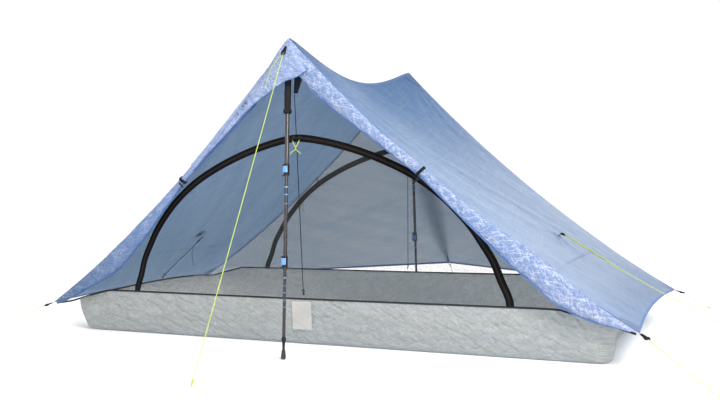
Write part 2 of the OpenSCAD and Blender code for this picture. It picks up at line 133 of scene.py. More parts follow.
def ridged(p, seed, octaves):
    return 1 - 2 * np.abs(rumple(p, seed, octaves))


def fade(u, a, b):
    """0 at both ends of u from 0 to 1, full from a after its start to b before its end."""
    return smooth(u, 0, a) * smooth(1 - u, 0, b)


def mesh_from(name, verts, faces, uv=None, mat=None):
    me = bpy.data.meshes.new(name)
    me.from_pydata([tuple(map(float, v)) for v in verts], [], [tuple(map(int, f)) for f in faces])
    if uv is not None:
        layer = me.uv_layers.new(name="UVMap")
        loops = np.empty(len(me.loops), np.int32)
        me.loops.foreach_get("vertex_index", loops)
        uv = np.asarray(uv, np.float32)
        layer.data.foreach_set("uv", (uv if len(uv) == len(loops) else uv[loops]).ravel())
    ob = bpy.data.objects.new(name, me)
    bpy.context.scene.collection.objects.link(ob)
    me.materials.append(mat)
    me.polygons.foreach_set("use_smooth", [True] * len(me.polygons))
    me.update()
    return ob


def grid_faces(n, m, wrap=False):
    out = []
    for i in range(n - 1):
        for j in range(m if wrap else m - 1):
            a, b = i * m + j, i * m + (j + 1) % m
            out.append((a, a + m, b + m, b))
    return out


def run_along(p):
    """Length from the first point to each point of a path."""
    return np.concatenate([[0], np.linalg.norm(np.diff(p, axis=0), axis=-1).cumsum()])


def grid_uv(pts):
    """Lengths along rows and columns, in metres."""
    du = np.linalg.norm(np.diff(pts, axis=0), axis=-1).mean(1)
    dv = np.linalg.norm(np.diff(pts, axis=1), axis=-1).max(0)
    u, v = np.concatenate([[0], du.cumsum()]), np.concatenate([[0], dv.cumsum()])
    uu, vv = np.meshgrid(u, v, indexing="ij")
    return stack(uu, vv).reshape(-1, 2)


def grid(name, pts, mat, uv=None, flip=False):
    n, m = pts.shape[:2]
    faces = grid_faces(n, m)
    if flip:
        faces = [f[::-1] for f in faces]
    return mesh_from(name, pts.reshape(-1, 3), faces, grid_uv(pts) if uv is None else uv.reshape(-1, 2), mat)


def frames(path, up=None):
    """Tangents and two side directions along a path; up keeps the second near a direction."""
    p = np.asarray(path, float)
    t = unit(np.gradient(p, axis=0))
    side = np.zeros_like(p)
    if up is not None:
        side = unit(np.cross(np.broadcast_to(np.asarray(up, float), p.shape), t))
        return t, side, unit(np.cross(t, side))
    s = unit(np.cross(t[0], [0.31, 0.2, 0.93]))
    for i in range(len(p)):
        s = unit(s - t[i] * (s @ t[i]))
        side[i] = s
    return t, side, np.cross(t, side)


def sweep(path, profile, up=None):
    """Vertices, faces and UVs of a profile carried along a path; the profile is (side, up) offsets."""
    p = np.asarray(path, float)
    _, a, b = frames(p, up)
    prof = np.asarray(profile, float)
    prof = np.broadcast_to(prof, (len(p),) + prof.shape)
    n, k = prof.shape[:2]
    v = p[:, None] + a[:, None] * prof[..., :1] + b[:, None] * prof[..., 1:]
    run = run_along(p)
    round_ = run_along(prof[0])
    uv = np.stack(np.broadcast_arrays(run[:, None], round_[None]), -1)
    faces = [f[::-1] for f in grid_faces(n, k, wrap=True)]
    faces += [tuple(range(k)), tuple(range(n * k - 1, n * k - k - 1, -1))]
    return v.reshape(-1, 3), faces, uv.reshape(-1, 2)


def ring(r, k=10, squash=1.0):
    a = np.arange(k) * 2 * math.pi / k
    return stack(r * np.cos(a), r * squash * np.sin(a))


def join(parts):
    """Several (verts, faces, uv) as one."""
    v, f, u, first = [], [], [], 0
    for a, b, c in parts:
        v.append(np.asarray(a, float))
        u.append(np.asarray(c, float))
        f += [tuple(i + first for i in q) for q in b]
        first += len(a)
    return np.concatenate(v), f, np.concatenate(u)


def swept(name, path, profile, mat, up=None):
    return mesh_from(name, *sweep(path, profile, up), mat)


def curve_points(keys, n):
    """n points on a smooth curve through the keys, evenly spaced."""
    k = np.asarray(keys, float)
    ext = np.concatenate([[2 * k[0] - k[1]], k, [2 * k[-1] - k[-2]]])
    out = []
    for i in range(1, len(ext) - 2):
        p0, p1, p2, p3 = ext[i - 1:i + 3]
        for u in np.linspace(0, 1, 24, endpoint=False):
            out.append(0.5 * ((2 * p1) + (p2 - p0) * u + (2 * p0 - 5 * p1 + 4 * p2 - p3) * u ** 2
                              + (3 * p1 - p0 - 3 * p2 + p3) * u ** 3))
    out.append(k[-1])
    return resample(np.array(out), n)


def resample(p, n):
    run = run_along(p)
    at = np.linspace(0, run[-1], n)
    return stack(*(np.interp(at, run, p[:, i]) for i in range(3)))


def length_of(p):
    return float(np.linalg.norm(np.diff(np.asarray(p, float), axis=0), axis=-1).sum())


def mirror_x(p):
    return np.asarray(p, float) * [-1, 1, 1]


def mirror_y(p):
    return np.asarray(p, float) * [1, -1, 1]


def side_of(p, sign):
    """Points of the right half, or their mirror image when sign is -1."""
    return p if sign > 0 else mirror_x(p)


# ---------------------------------------------------------------- materials
class Nodes:
    """A thin way to write a node tree."""

    def __init__(self, name):
        self.mat = bpy.data.materials.new(name)
        self.mat.use_nodes = True
        self.t = self.mat.node_tree
        self.t.nodes.clear()
        self.out = self.t.nodes.new("ShaderNodeOutputMaterial")

    def node(self, kind, props=None, **inputs):
        n = self.t.nodes.new(kind)
        for k, v in (props or {}).items():
            setattr(n, k, v)
        for k, v in inputs.items():
            self.put(n.inputs[int(k[1:]) if k[0] == "_" and k[1:].isdigit() else k.replace("_", " ")], v)
        return n

    def put(self, socket, v):
        if isinstance(v, bpy.types.NodeSocket):
            self.t.links.new(v, socket)
        elif isinstance(v, (tuple, list)) and len(v) == 3 and socket.type == "RGBA":
            socket.default_value = (*v, 1)
        else:
            socket.default_value = v

    def uv(self):
        return self.node("ShaderNodeUVMap", {"uv_map": "UVMap"}).outputs[0]

    def obj(self):
        return self.node("ShaderNodeTexCoord").outputs["Object"]

    def mapped(self, vec, scale=(1, 1, 1), rot=(0, 0, 0), loc=(0, 0, 0)):
        if any(rot):
            vec = self.node("ShaderNodeMapping", Vector=vec, Rotation=rot).outputs[0]
        return self.node("ShaderNodeMapping", Vector=vec, Scale=scale, Location=loc).outputs[0]

    def noise(self, vec, scale, detail=3.0, rough=0.5, distort=0.0):
        return self.node("ShaderNodeTexNoise", Vector=vec, Scale=scale, Detail=detail, Roughness=rough,
                         Distortion=distort).outputs["Fac"]

    def math(self, op, a, b=0.5):
        return self.node("ShaderNodeMath", {"operation": op}, _0=a, _1=b).outputs[0]

    def mul(self, a, b):
        return self.math("MULTIPLY", a, b)

    def shade(self, col, by):
        return self.mix(1.0, col, by, "MULTIPLY")

    def ramp(self, fac, *stops):
        n = self.node("ShaderNodeValToRGB", Fac=fac)
        e = n.color_ramp.elements
        while len(e) < len(stops):
            e.new(0.5)
        for el, (pos, col) in zip(e, stops):
            el.position = pos
            el.color = (*col, 1) if hasattr(col, "__len__") else (col, col, col, 1)
        return n.outputs[0]

    def streaks(self, uv, stretch, turn, seed, detail, rough, low, high):
        """Noise drawn out along a direction, from 0 below low to 1 above high."""
        n = self.noise(self.mapped(uv, (*stretch, 1), (0, 0, turn), seed), 1.0, detail, rough)
        return self.ramp(n, (low, 0.0), (high, 1.0))

    def mix(self, fac, a, b, kind="MIX"):
        n = self.node("ShaderNodeMix", {"data_type": "RGBA", "blend_type": kind})
        for s, v in zip((n.inputs[0], n.inputs[6], n.inputs[7]), (fac, a, b)):
            self.put(s, v)
        return n.outputs[2]

    def bump(self, height, strength=0.3, distance=0.001, normal=None):
        n = self.node("ShaderNodeBump", Height=height, Strength=strength, Distance=distance)
        if normal is not None:
            self.put(n.inputs["Normal"], normal)
        return n.outputs[0]

    def principled(self, **kw):
        return self.node("ShaderNodeBsdfPrincipled", **kw).outputs[0]

    def shader_mix(self, fac, a, b):
        return self.node("ShaderNodeMixShader", _0=fac, _1=a, _2=b).outputs[0]

    def done(self, shader):
        self.t.links.new(shader, self.out.inputs["Surface"])
        return self.mat


def laminate(name, tones, fibre=0.5, crinkle=0.25, through=0.45, rough=0.42, crumple=0.0, grain=0.2,
             cloudy=0.5, tint=(1, 1, 1), size=1.0, shine=0.35):
    """Thin film over a web of fine fibres, with light coming through it.

    tones are (metres along U, colour), fibre is how much the web shows, cloudy how patchy the colour is and
    how dark the fold lines are painted as shade, crinkle the bump's strength, crumple how strongly its
    creases are painted with highlights on their crests and shade in their hollows and on their sides, grain
    how long they are drawn out and size how coarse they are. through is the share of light that passes and
    tint its colour.
    """
    k = Nodes(name)
    uv = k.uv()
    if len(tones) > 1:
        span = 1.7
        sep = k.node("ShaderNodeSeparateXYZ", Vector=uv)
        wander = k.mul(k.math("SUBTRACT", k.noise(uv, 2.3, 4.0, 0.6), 0.5), 0.35)
        base = k.ramp(k.math("DIVIDE", k.math("ADD", sep.outputs[0], wander), span),
                      *[(a / span, c) for a, c in tones])
    else:
        base = tones[0][1]
    deep = k.shade(base, (0.80, 0.87, 0.93))
    glow = k.mix(0.42, base, (0.93, 0.96, 1.0))

    # the web: four families of fine fibres, each along its own direction
    strands = []
    for turn, along, across, seed in ((0.45, 3, 260, 1.3), (-0.62, 4, 330, 4.1), (1.35, 3, 240, 7.7),
                                      (0.05, 4, 400, 9.2)):
        v = k.mapped(uv, (along, across, 1), (0, 0, turn), (seed, seed * 2, seed))
        strands.append(k.noise(v, 1.0, 2.0, 0.55, 0.1))
    web = k.math("MAXIMUM", k.math("MAXIMUM", strands[0], strands[1]),
                 k.math("MAXIMUM", strands[2], strands[3]))
    web = k.ramp(web, (0.52, 0.0), (0.72, 1.0))

    # the film's colour: clouds, soft bands and thin fold lines painted darker as shade, under the web
    dark = k.streaks(uv, (7, 120), 0.9, (2, 5, 1), 3.0, 0.6, 0.54, 0.72)
    cloud = k.ramp(k.noise(uv, 3.2, 4.0, 0.6), (0.35, 0.0), (0.68, 1.0))
    bands = k.streaks(uv, (1.3, 17), -0.42, (1, 4, 2), 3.0, 0.55, 0.40, 0.62)
    folds = k.streaks(uv, (0.9, 46), 0.52, (7, 2, 5), 2.0, 0.5, 0.50, 0.66)
    col = k.mix(k.mul(cloud, cloudy), base, deep)
    col = k.mix(k.mul(bands, cloudy * 0.9), col, k.shade(base, (0.66, 0.76, 0.85)))
    # painted shade along the thin fold lines
    col = k.mix(k.mul(folds, cloudy * 0.7), col, k.shade(base, (0.62, 0.74, 0.84)))
    col = k.mix(k.mul(web, fibre), col, glow)
    col = k.mix(k.mul(dark, fibre * 0.6), col, k.shade(deep, (0.80, 0.86, 0.92)))

    # creases: painted highlights on the crests, painted shade in the hollows and on the sides, and a bump, in
    # three sizes and directions
    height = k.mul(k.noise(uv, 46.0 / size ** 2, 4.0, 0.5), 0.7)
    if crumple:
        turned = k.node("ShaderNodeTexNoise", Vector=uv, Scale=7.0, Detail=2.0).outputs["Color"]
        warped = k.mix(0.008 * size, uv, turned)
        for scale, stretch, turn, seed in ((42.0, grain, 0.30, 3.0), (75.0, grain, -0.38, 8.0),
                                           (120.0, grain * 1.2, 0.62, 14.0)):
            scale /= size
            q = k.mapped(warped, (stretch, 1, 1), (0, 0, turn), (seed, seed, 0))
            ridge = k.math("ABSOLUTE", k.math("SUBTRACT", k.noise(q, scale, 2.0, 0.5), 0.5))
            # a painted highlight along each crest, painted shade in the hollows beside it and on the crease
            # sides
            painted_glint = k.ramp(ridge, (0.0, 1.0), (0.014, 0.5), (0.034, 0.0))
            painted_hollow_shade = k.noise(k.mapped(q, loc=(5, 5, 0)), scale, 2.0, 0.5)
            painted_hollow_shade = k.ramp(painted_hollow_shade, (0.50, 0.0), (0.68, 1.0))
            col = k.mix(k.mul(painted_hollow_shade, crumple * 0.35), col, deep)
            col = k.mix(k.mul(painted_glint, crumple * 0.42), col, (0.96, 0.97, 1.0))
            side = k.ramp(ridge, (0.030, 0.0), (0.050, 1.0), (0.085, 0.0))
            col = k.mix(k.mul(side, crumple * 0.30), col, k.shade(base, (0.66, 0.72, 0.84)))
            height = k.math("ADD", height, k.mul(ridge, 4.5 * 50.0 / scale))

    normal = k.bump(height, crinkle, 0.004)
    normal = k.bump(web, 0.35, 0.0003, normal)
    ro = k.ramp(k.noise(uv, 30.0, 3.0), (0.3, rough - 0.08), (0.7, rough + 0.12))
    front = k.principled(Base_Color=col, Roughness=ro, Normal=normal, Sheen_Weight=0.05, Sheen_Roughness=0.4,
                         Specular_IOR_Level=shine)
    back = k.node("ShaderNodeBsdfTranslucent", Color=k.shade(col, tint), Normal=normal).outputs[0]
    return k.done(k.shader_mix(through, front, back))


def net(name, thread, share=0.34, pitch=0.0011):
    """Insect net: fine threads with open cells."""
    k = Nodes(name)
    uv = k.uv()
    sep = k.node("ShaderNodeSeparateXYZ", Vector=uv)
    lines = []
    for i in (0, 1):
        w = k.math("FRACT", k.math("DIVIDE", sep.outputs[i], pitch))
        w = k.math("ABSOLUTE", k.math("SUBTRACT", w, 0.5))
        lines.append(k.math("GREATER_THAN", w, 0.5 - share * 0.27))
    grid_ = k.math("MAXIMUM", lines[0], lines[1])
    wave = k.noise(uv, 2.5, 3.0)
    col = k.mix(k.ramp(wave, (0.3, 0.0), (0.7, 1.0)), thread, tuple(min(1, c * 1.35) for c in thread))
    col = k.mix(k.mul(k.noise(uv, 900.0, 1.0), 0.4), col, tuple(c * 0.6 for c in thread))
    solid = k.principled(Base_Color=col, Roughness=0.62, Sheen_Weight=0.3, Specular_IOR_Level=0.3)
    clear = k.node("ShaderNodeBsdfTransparent", Color=(1, 1, 1)).outputs[0]
    return k.done(k.shader_mix(grid_, clear, solid))


def woven(name, col, light, pitch=0.0016, rough=0.75, bump=0.5):
    """Webbing, tape or braid: ribs across the strip in UV metres."""
    k = Nodes(name)
    uv = k.uv()
    sep = k.node("ShaderNodeSeparateXYZ", Vector=uv)
    a = k.math("SINE", k.mul(k.math("ADD", sep.outputs[0], sep.outputs[1]), 2 * math.pi / pitch))
    b = k.math("SINE", k.mul(k.math("SUBTRACT", sep.outputs[0], sep.outputs[1]), 2 * math.pi / pitch))
    rib = k.mul(k.math("ADD", k.mul(a, b), 1.0), 0.5)
    worn = k.noise(uv, 60.0, 4.0, 0.6)
    c = k.mix(rib, col, light)
    c = k.mix(k.mul(k.ramp(worn, (0.5, 0.0), (0.75, 1.0)), 0.35), c,
              tuple(min(1, x * 1.5 + 0.002) for x in light))
    n = k.bump(rib, bump, pitch * 0.25)
    return k.done(k.principled(Base_Color=c, Roughness=rough, Normal=n, Specular_IOR_Level=0.06))


def moulded(name, col, rough=0.4, grain=900.0, bump=0.12, coat=0.0, wear=0.2):
    """Moulded plastic or rubber: fine grain, a little wear."""
    k = Nodes(name)
    o = k.obj()
    g = k.noise(o, grain, 3.0, 0.6)
    blot = k.noise(o, 40.0, 4.0, 0.6)
    c = k.mix(k.mul(k.ramp(blot, (0.45, 0.0), (0.75, 1.0)), wear), col,
              tuple(min(1, x * 1.8 + 0.02) for x in col))
    r = k.ramp(blot, (0.3, rough - 0.06), (0.7, rough + 0.1))
    return k.done(k.principled(Base_Color=c, Roughness=r, Normal=k.bump(g, bump, 0.0004), Coat_Weight=coat,
                               Specular_IOR_Level=0.22))


# colour of the slopes from ridge to hem, metres along U: dark near the ridge as painted shade, lighter down
# the slope as painted light, darker again at the hem
SLOPE_PAINTED_SHADING = [(0.0, (0.070, 0.180, 0.390)), (0.22, (0.110, 0.225, 0.440)), (0.55, (0.195, 0.300, 0.505)),
         (0.95, (0.290, 0.385, 0.590)),
         (1.42, (0.340, 0.415, 0.605)), (1.60, (0.260, 0.330, 0.510))]
canopy_mat = laminate("canopy_laminate", SLOPE_PAINTED_SHADING, fibre=0.24, through=0.50, tint=(0.70, 0.92, 0.90), cloudy=0.6)
door_mat = laminate("door_laminate", [(0, (0.360, 0.418, 0.486))], fibre=0.30, crinkle=0.4, through=0.55,
                    cloudy=0.6)
# the two furled doors are one cloth given different tones by side: the left one lighter high up and darkening
# towards its lower end as painted shade, the right one with more painted crease highlights and shade
roll_right = laminate("furled_laminate_right", [(0.0, (0.200, 0.300, 0.540)), (0.45, (0.250, 0.345, 0.580)),
                                                (1.05, (0.210, 0.315, 0.570)),
                                                (1.60, (0.280, 0.350, 0.560))], fibre=0.2, crinkle=0.7,
                      through=0.35, rough=0.24, crumple=0.85, grain=0.20, shine=0.7)
roll_left = laminate("furled_laminate_left", [(0.0, (0.300, 0.400, 0.640)), (0.55, (0.300, 0.405, 0.650)),
                                              (0.95, (0.130, 0.235, 0.470)),
                                              (1.60, (0.075, 0.150, 0.310))], fibre=0.2, crinkle=0.6,
                     through=0.35, rough=0.28, crumple=0.30, grain=0.16, shine=0.5)
bib_mat = laminate("bib_laminate", [(0, (0.290, 0.385, 0.640))], fibre=0.30, crinkle=0.7, through=0.35,
                   rough=0.26, crumple=0.7, grain=0.30, shine=0.6)
tub_mat = laminate("tub_laminate", [(0, (0.715, 0.690, 0.620))], fibre=0.12, crinkle=0.9, through=0.66,
                   rough=0.18, crumple=0.62, cloudy=0.18,
                   grain=0.22, size=1.35, shine=1.0)
patch_mat = laminate("tub_patch", [(0, (0.560, 0.530, 0.490))], fibre=0.15, crinkle=0.2, through=0.3)
hem_mat = laminate("hem_laminate", [(0, (0.050, 0.145, 0.420))], fibre=0.15, crinkle=0.3, through=0.20)
net_mat = net("insect_net", (0.050, 0.053, 0.056), share=0.22)
tape_mat = woven("zip_tape", (0.002, 0.002, 0.002), (0.007, 0.006, 0.006), 0.0018)
coil_mat = woven("zip_coil", (0.010, 0.008, 0.008), (0.026, 0.022, 0.021), 0.0024, rough=0.5, bump=0.9)
rim_mat = woven("rim_binding_tape", (0.016, 0.016, 0.017), (0.042, 0.042, 0.044), 0.0018)
web_mat = woven("black_webbing", (0.003, 0.003, 0.004), (0.011, 0.011, 0.013), 0.0018)
cord_black = woven("black_cord", (0.005, 0.006, 0.007), (0.016, 0.017, 0.020), 0.0016)
lime_mat = woven("lime_cord", (0.33, 0.42, 0.06), (0.52, 0.62, 0.14), 0.0020, rough=0.6, bump=0.4)
plastic_mat = moulded("black_plastic", (0.008, 0.008, 0.009), 0.45)
lever_mat = moulded("lever_plastic", (0.120, 0.290, 0.660), 0.30, wear=0.12, coat=0.3)
foam_mat = moulded("grip_foam", (0.007, 0.007, 0.008), 0.8, grain=1400.0, bump=0.5, wear=0.3)
rubber_mat = moulded("foot_rubber", (0.030, 0.030, 0.032), 0.7, bump=0.3)


def paint(node, mat):
    o = frame["nodes"][node]
    for s in o.material_slots:
        s.material = mat
    if not o.material_slots:
        o.data.materials.append(mat)


# ---------------------------------------------------------------- camera, light and floor
def set_camera():
    yaw, pitch, roll = (math.radians(a) for a in (27.3046, 0.4102, -1.2368))
    fwd = Vector((-math.sin(yaw) * math.cos(pitch), math.cos(yaw) * math.cos(pitch), -math.sin(pitch)))
    right = Vector((math.cos(yaw), math.sin(yaw), 0))
    up = right.cross(fwd)
    right, up = right * math.cos(roll) + up * math.sin(roll), -right * math.sin(roll) + up * math.cos(roll)
    cam = bpy.data.cameras.new("camera")
    cam.lens, cam.sensor_width = 44.32, 36
    cam.shift_x, cam.shift_y = 0.0692, -0.0121
    ob = bpy.data.objects.new("camera", cam)
    m = Matrix((right, up, -fwd)).transposed().to_4x4()
    m.translation = Vector((1.614, -3.6162, 0.6163))
    ob.matrix_world = m
    bpy.context.scene.collection.objects.link(ob)
    bpy.context.scene.camera = ob


def lamp(name, place, aim, size, power, tint=(1, 1, 1)):
    li = bpy.data.lights.new(name, "AREA")
    li.shape, li.size, li.size_y, li.energy, li.color = "RECTANGLE", size[0], size[1], power, tint
    ob = bpy.data.objects.new(name, li)
    ob.location = place
    ob.rotation_euler = (Vector(aim) - Vector(place)).to_track_quat("-Z", "Y").to_euler()
    bpy.context.scene.collection.objects.link(ob)


def set_light():
    w = bpy.data.worlds.new("studio")
    bpy.context.scene.world = w
    w.use_nodes = True
    bg = w.node_tree.nodes["Background"]
    bg.inputs[0].default_value = (1.0, 1.0, 1.0, 1)
    bg.inputs[1].default_value = 1.06
    bpy.context.scene.view_settings.view_transform = "Standard"
    lamp("key", (3.4, -3.4, 3.4), (0.3, 0, 0.4), (1.8, 1.8), 300, (1.0, 0.985, 0.965))
    lamp("fill", (-3.5, -3.5, 2.5), (0, 0, 0.5), (3, 3), 30, (0.97, 0.98, 1.0))
    lamp("back", (-0.6, 4.6, 1.6), (0, 0.5, 0.2), (4, 2.0), 60, (1.0, 1.0, 0.98))


def set_floor():
    k = Nodes("studio_floor")
    o = k.obj()
    c = k.mix(k.noise(o, 0.8, 2.0), (0.945, 0.945, 0.945), (0.955, 0.955, 0.955))
    mat = k.done(k.principled(Base_Color=c, Roughness=0.9, Specular_IOR_Level=0.1))
    a = np.linspace(0, 2 * math.pi, 65)[:-1]
    v = stack(26 * np.cos(a), 26 * np.sin(a), np.full(64, -0.0008))
    mesh_from("studio_floor", v, [tuple(range(64))], mat=mat)


set_camera()
set_light()
set_floor()


# ---------------------------------------------------------------- pieces and cords
def piece(ob, body=ROOT, slot=None, *nodes):
    """Rides and stands for nodes; slot is not used."""
    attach(ob, body)
    if nodes:
        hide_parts(*nodes)
    return ob


def assembled(name, parts, mat, slot, *nodes, body=ROOT):
    """One piece of several (verts, faces, uv)."""
    return piece(mesh_from(name, *join(parts), mat), body, slot, *nodes)


def line_route(a, b, sag, n=40):
    """A straight line from a to b that sags by sag in its middle."""
    u = np.linspace(0, 1, n)[:, None]
    return lerp(np.array(a, float), np.array(b, float),
                u) - np.concatenate([0 * u, 0 * u, sag * 4 * u * (1 - u)], 1)


def loop_knot(name, end, back, d, mat, size=0.006):
    """A small eye and a wrapped knot at the end of a line; back points to where the line comes from."""
    t = unit(back)
    s = unit(np.cross(t, [0, 0, 1.0]))
    a = np.linspace(0, 2 * math.pi, 33)[:-1] + math.pi
    eye = end + t * (size * 0.9 * (1 - np.cos(a)))[:, None] + s * (size * 0.42 * np.sin(a))[:, None]
    eye = np.concatenate([eye, eye[:1]])
    parts = [sweep(eye, ring(d / 2, 8))]
    u = np.linspace(0, 1, 60)
    c = end + t * (size * 1.6 + 0.012 * u)[:, None]
    b = np.cross(t, s)
    r = d * 0.95
    w = c + s * (r * np.cos(u * 2 * math.pi * 4))[:, None] + b * (r * np.sin(u * 2 * math.pi * 4))[:, None]
    parts.append(sweep(w, ring(d / 2, 8)))
    return assembled(name, parts, mat, "lime_cord")


def cord_piece(name, path, d, mat, slot, body=ROOT, node=None):
    path = np.asarray(path, float)
    ob = swept(name, path, ring(d / 2, 8), mat)
    piece(ob, body, slot, *([node] if node else []))
    tuple(path[0])
    length_of(path)
    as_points(path)


peak_tie = np.array([[0, -0.638, 1.175], [0, -0.690, 1.118], [0, -1.330, 0.0016]])
fr_tie = np.array([[1.245, -0.616, 0.125], [1.272, -0.642, 0.111], [1.510, -0.960, 0.0016]])
fl_tie = np.array([mirror_x(fr_tie[0]), mirror_x(fr_tie[1]), [-1.400, -0.900, 0.0016]])
br_tie = np.array([mirror_y(fr_tie[0]), mirror_y(fr_tie[1]), [1.360, 1.000, 0.0016]])
bl_tie = np.array([mirror_x(br_tie[0]), mirror_x(br_tie[1]), [-1.450, 0.960, 0.0016]])
side_tie = np.array([[0.862, 0, 0.397], [0.892, 0, 0.402], [1.620, 0, 0.0016]])
TIES = {"front_peak": (peak_tie, 0.002), "rear_peak": (mirror_y(peak_tie), 0.002),
        "front_left": (fl_tie, 0.002),
        "front_right": (fr_tie, 0.002), "rear_left": (bl_tie, 0.002), "rear_right": (br_tie, 0.002),
        "side_left": (mirror_x(side_tie), 0.020), "side_right": (side_tie, 0.020)}
GUY_D, HANG_D, PULL_D, TAIL_D, HANG_TAIL_D = 0.0030, 0.0030, 0.0034, 0.0024, 0.0020

for key, (tie, sag) in TIES.items():
    route = line_route(tie[1], tie[2], sag)
    knot = loop_knot("guy_knot_" + key, route[-1] + [0, 0, 0.0006], route[-3] - route[-1], GUY_D, lime_mat)
    cord_piece("guyline_" + key, route, GUY_D, lime_mat, "lime_cord", node="guy_" + key)

hang_route = curve_points([[0, -0.604, 0.976], [0, -0.590, 0.700], [0, -0.578, 0.450], [0, -0.566, 0.210]],
                          40)
end_route = curve_points([[0.852, 0, 0.385], [0.900, 0, 0.345], [1.000, 0, 0.264], [1.091, 0, 0.189]], 30)
for key, path in (("front", hang_route), ("rear", mirror_y(hang_route)), ("right", end_route),
                  ("left", mirror_x(end_route))):
    cord_piece("hang_cord_" + key, path, HANG_D, cord_black, "black_cord", node="hang_" + key)


# ---------------------------------------------------------------- canopy
def ridge_z(t):
    return PEAK_Z - RIDGE_SAG * (1 - t * t).clip(0) ** 1.3


def canopy(s, t):
    """Points on the right slope: s from ridge to hem, t from front (-1) to rear (1)."""
    s, t = np.broadcast_arrays(np.asarray(s, float), np.asarray(t, float))
    x = s * (CX - HEM_BOW * (1 - t * t))
    y = t * lerp(PEAK_Y, CY, s)
    z = lerp(ridge_z(t), CZ + HEM_RISE * (1 - t * t), s) - EDGE_SAG * 4 * s * (1 - s) * (0.4 + 0.6 * t * t)
    return stack(x, y, z)


def slope(sign, seed):
    """One slope with tension folds from its peaks, corners and side tie-out."""
    s, t = np.meshgrid(np.linspace(0, 1, 130), np.linspace(-1, 1, 120), indexing="ij")
    p = canopy(s, t)
    zero = 0 * s
    edge = smooth(1 - np.abs(t), 0, 0.10) * smooth(1 - s, 0, 0.06) * smooth(s, 0, 0.05)
    lift = 0.0022 * rumple(p * [5, 5, 5] + seed, seed, 3) + 0.0010 * rumple(p * [18, 9, 18], seed + 5, 2)
    for ty in (-1, 1):
        d = p - canopy(0.0, float(ty))
        r = np.linalg.norm(d, axis=-1)
        a = np.arctan2(np.abs(d[..., 1]), d[..., 0] * 1.3)
        pleats = np.sin(a * 22 + 2.5 * rumple(p * 3, seed + 9, 2))
        lift = lift + 0.0024 * pleats * np.exp(-r / 0.42) * smooth(r, 0.02, 0.25)

    # crinkles at the front corner and along the hem, and broad folds that fan out from the ridge
    near = smooth(t, -0.80, -1.0) * smooth(s, 0.45, 0.7)
    lift = lift + 0.0030 * near * ridged(stack(s * 22, t * 30 + s * 9, zero), seed + 12, 3)
    lift = lift + 0.0022 * smooth(s, 0.88, 1) * ridged(stack(s * 40, t * 16, zero), seed + 13, 3)
    fan = t * 0.62 - s * 1.05
    lift = lift + 0.0035 * rumple(stack(fan * 13, s * 1.6, zero), seed + 15, 3) * smooth(s, 0.1, 0.4)

    # a pulled-up cone round the side tie-out
    tie = np.array([0.862, 0, 0.394])
    d = p - tie
    r = np.linalg.norm(d, axis=-1)
    a = np.arctan2(d[..., 1], d[..., 0])
    star = np.cos(a * 5) * np.exp(-r / 0.16) * smooth(r, 0.0, 0.05)
    lift = lift + 0.009 * np.exp(-r / 0.05) + 0.0022 * star
    p = p + UP * (lift * edge)[..., None] + UP * 0.0006
    uv = stack(s * SLOPE_LENGTH, t * 0.62 + 0.62)
    return side_of(p, sign), uv


# the left slope's U is shifted past the tone ramp's end, so it takes the ramp's last, darker tone all over
for label, sign, seed, shift in (("right", 1, 3, 0), ("left", -1, 11, 4)):
    p, uv = slope(sign, seed)
    ob = grid("canopy_cloth_" + label, p, canopy_mat, uv + [shift, 0], flip=sign < 0)
    piece(ob, ROOT, "canopy_cloth", "canopy_" + label)


# ---------------------------------------------------------------- hems, seams and patches of the slopes
def edging(name, line, inward, lift, width, mat):
    """A hem folded over an edge: line is the edge, inward and lift unit directions at each point."""
    w = inward * width
    h = lift * 0.0009
    out = -inward * 0.0008
    rows = [line + w + h, line + w * 0.5 + h, line + h, line + out, line - h, line + w * 0.5 - h,
            line + w - h]
    p = np.stack(rows, 1)
    return piece(grid(name, p, mat), ROOT, "canopy_cloth")


def surface_dirs(s, t, ds, dt):
    """At canopy(s, t): the unit direction towards (s+ds, t+dt)."""
    return unit(canopy(s + ds, t + dt) - canopy(s, t))


def hems(name, sign):
    """Folded hems along a slope's lower, front and rear edges."""
    n = 140
    t = np.linspace(-1, 1, n)
    up = side_of(np.broadcast_to(UP, (n, 3)), sign)
    edging("hem_" + name, side_of(canopy(1.0, t), sign), side_of(surface_dirs(1.0, t, -0.02, 0), sign), up,
           0.008, hem_mat)
    s = np.linspace(0.004, 1, n)
    for label, tt in (("front", -1.0), ("rear", 1.0)):
        line = canopy(s, tt)
        inn = surface_dirs(s, np.full(n, tt), 0, -0.03 * tt)
        edging("edge_" + label + "_" + name, side_of(line, sign), side_of(inn, sign), up, 0.009, hem_mat)


for label, sign in SIDES:
    hems("slope_" + label, sign)


def surface_patch(name, sign, s, t, mat, lift=0.0016):
    p = canopy(s, t)
    p = p + UP * (lift + 0.0006 * rumple(p * 30, 7, 2))[..., None]
    return piece(grid(name, side_of(p, sign), mat, flip=sign < 0), ROOT, "canopy_cloth")


def quarter(n=22, m=16):
    r, a = np.meshgrid(np.linspace(0, 1, n), np.linspace(0, math.pi / 2, m), indexing="ij")
    return r * np.cos(a), r * np.sin(a)


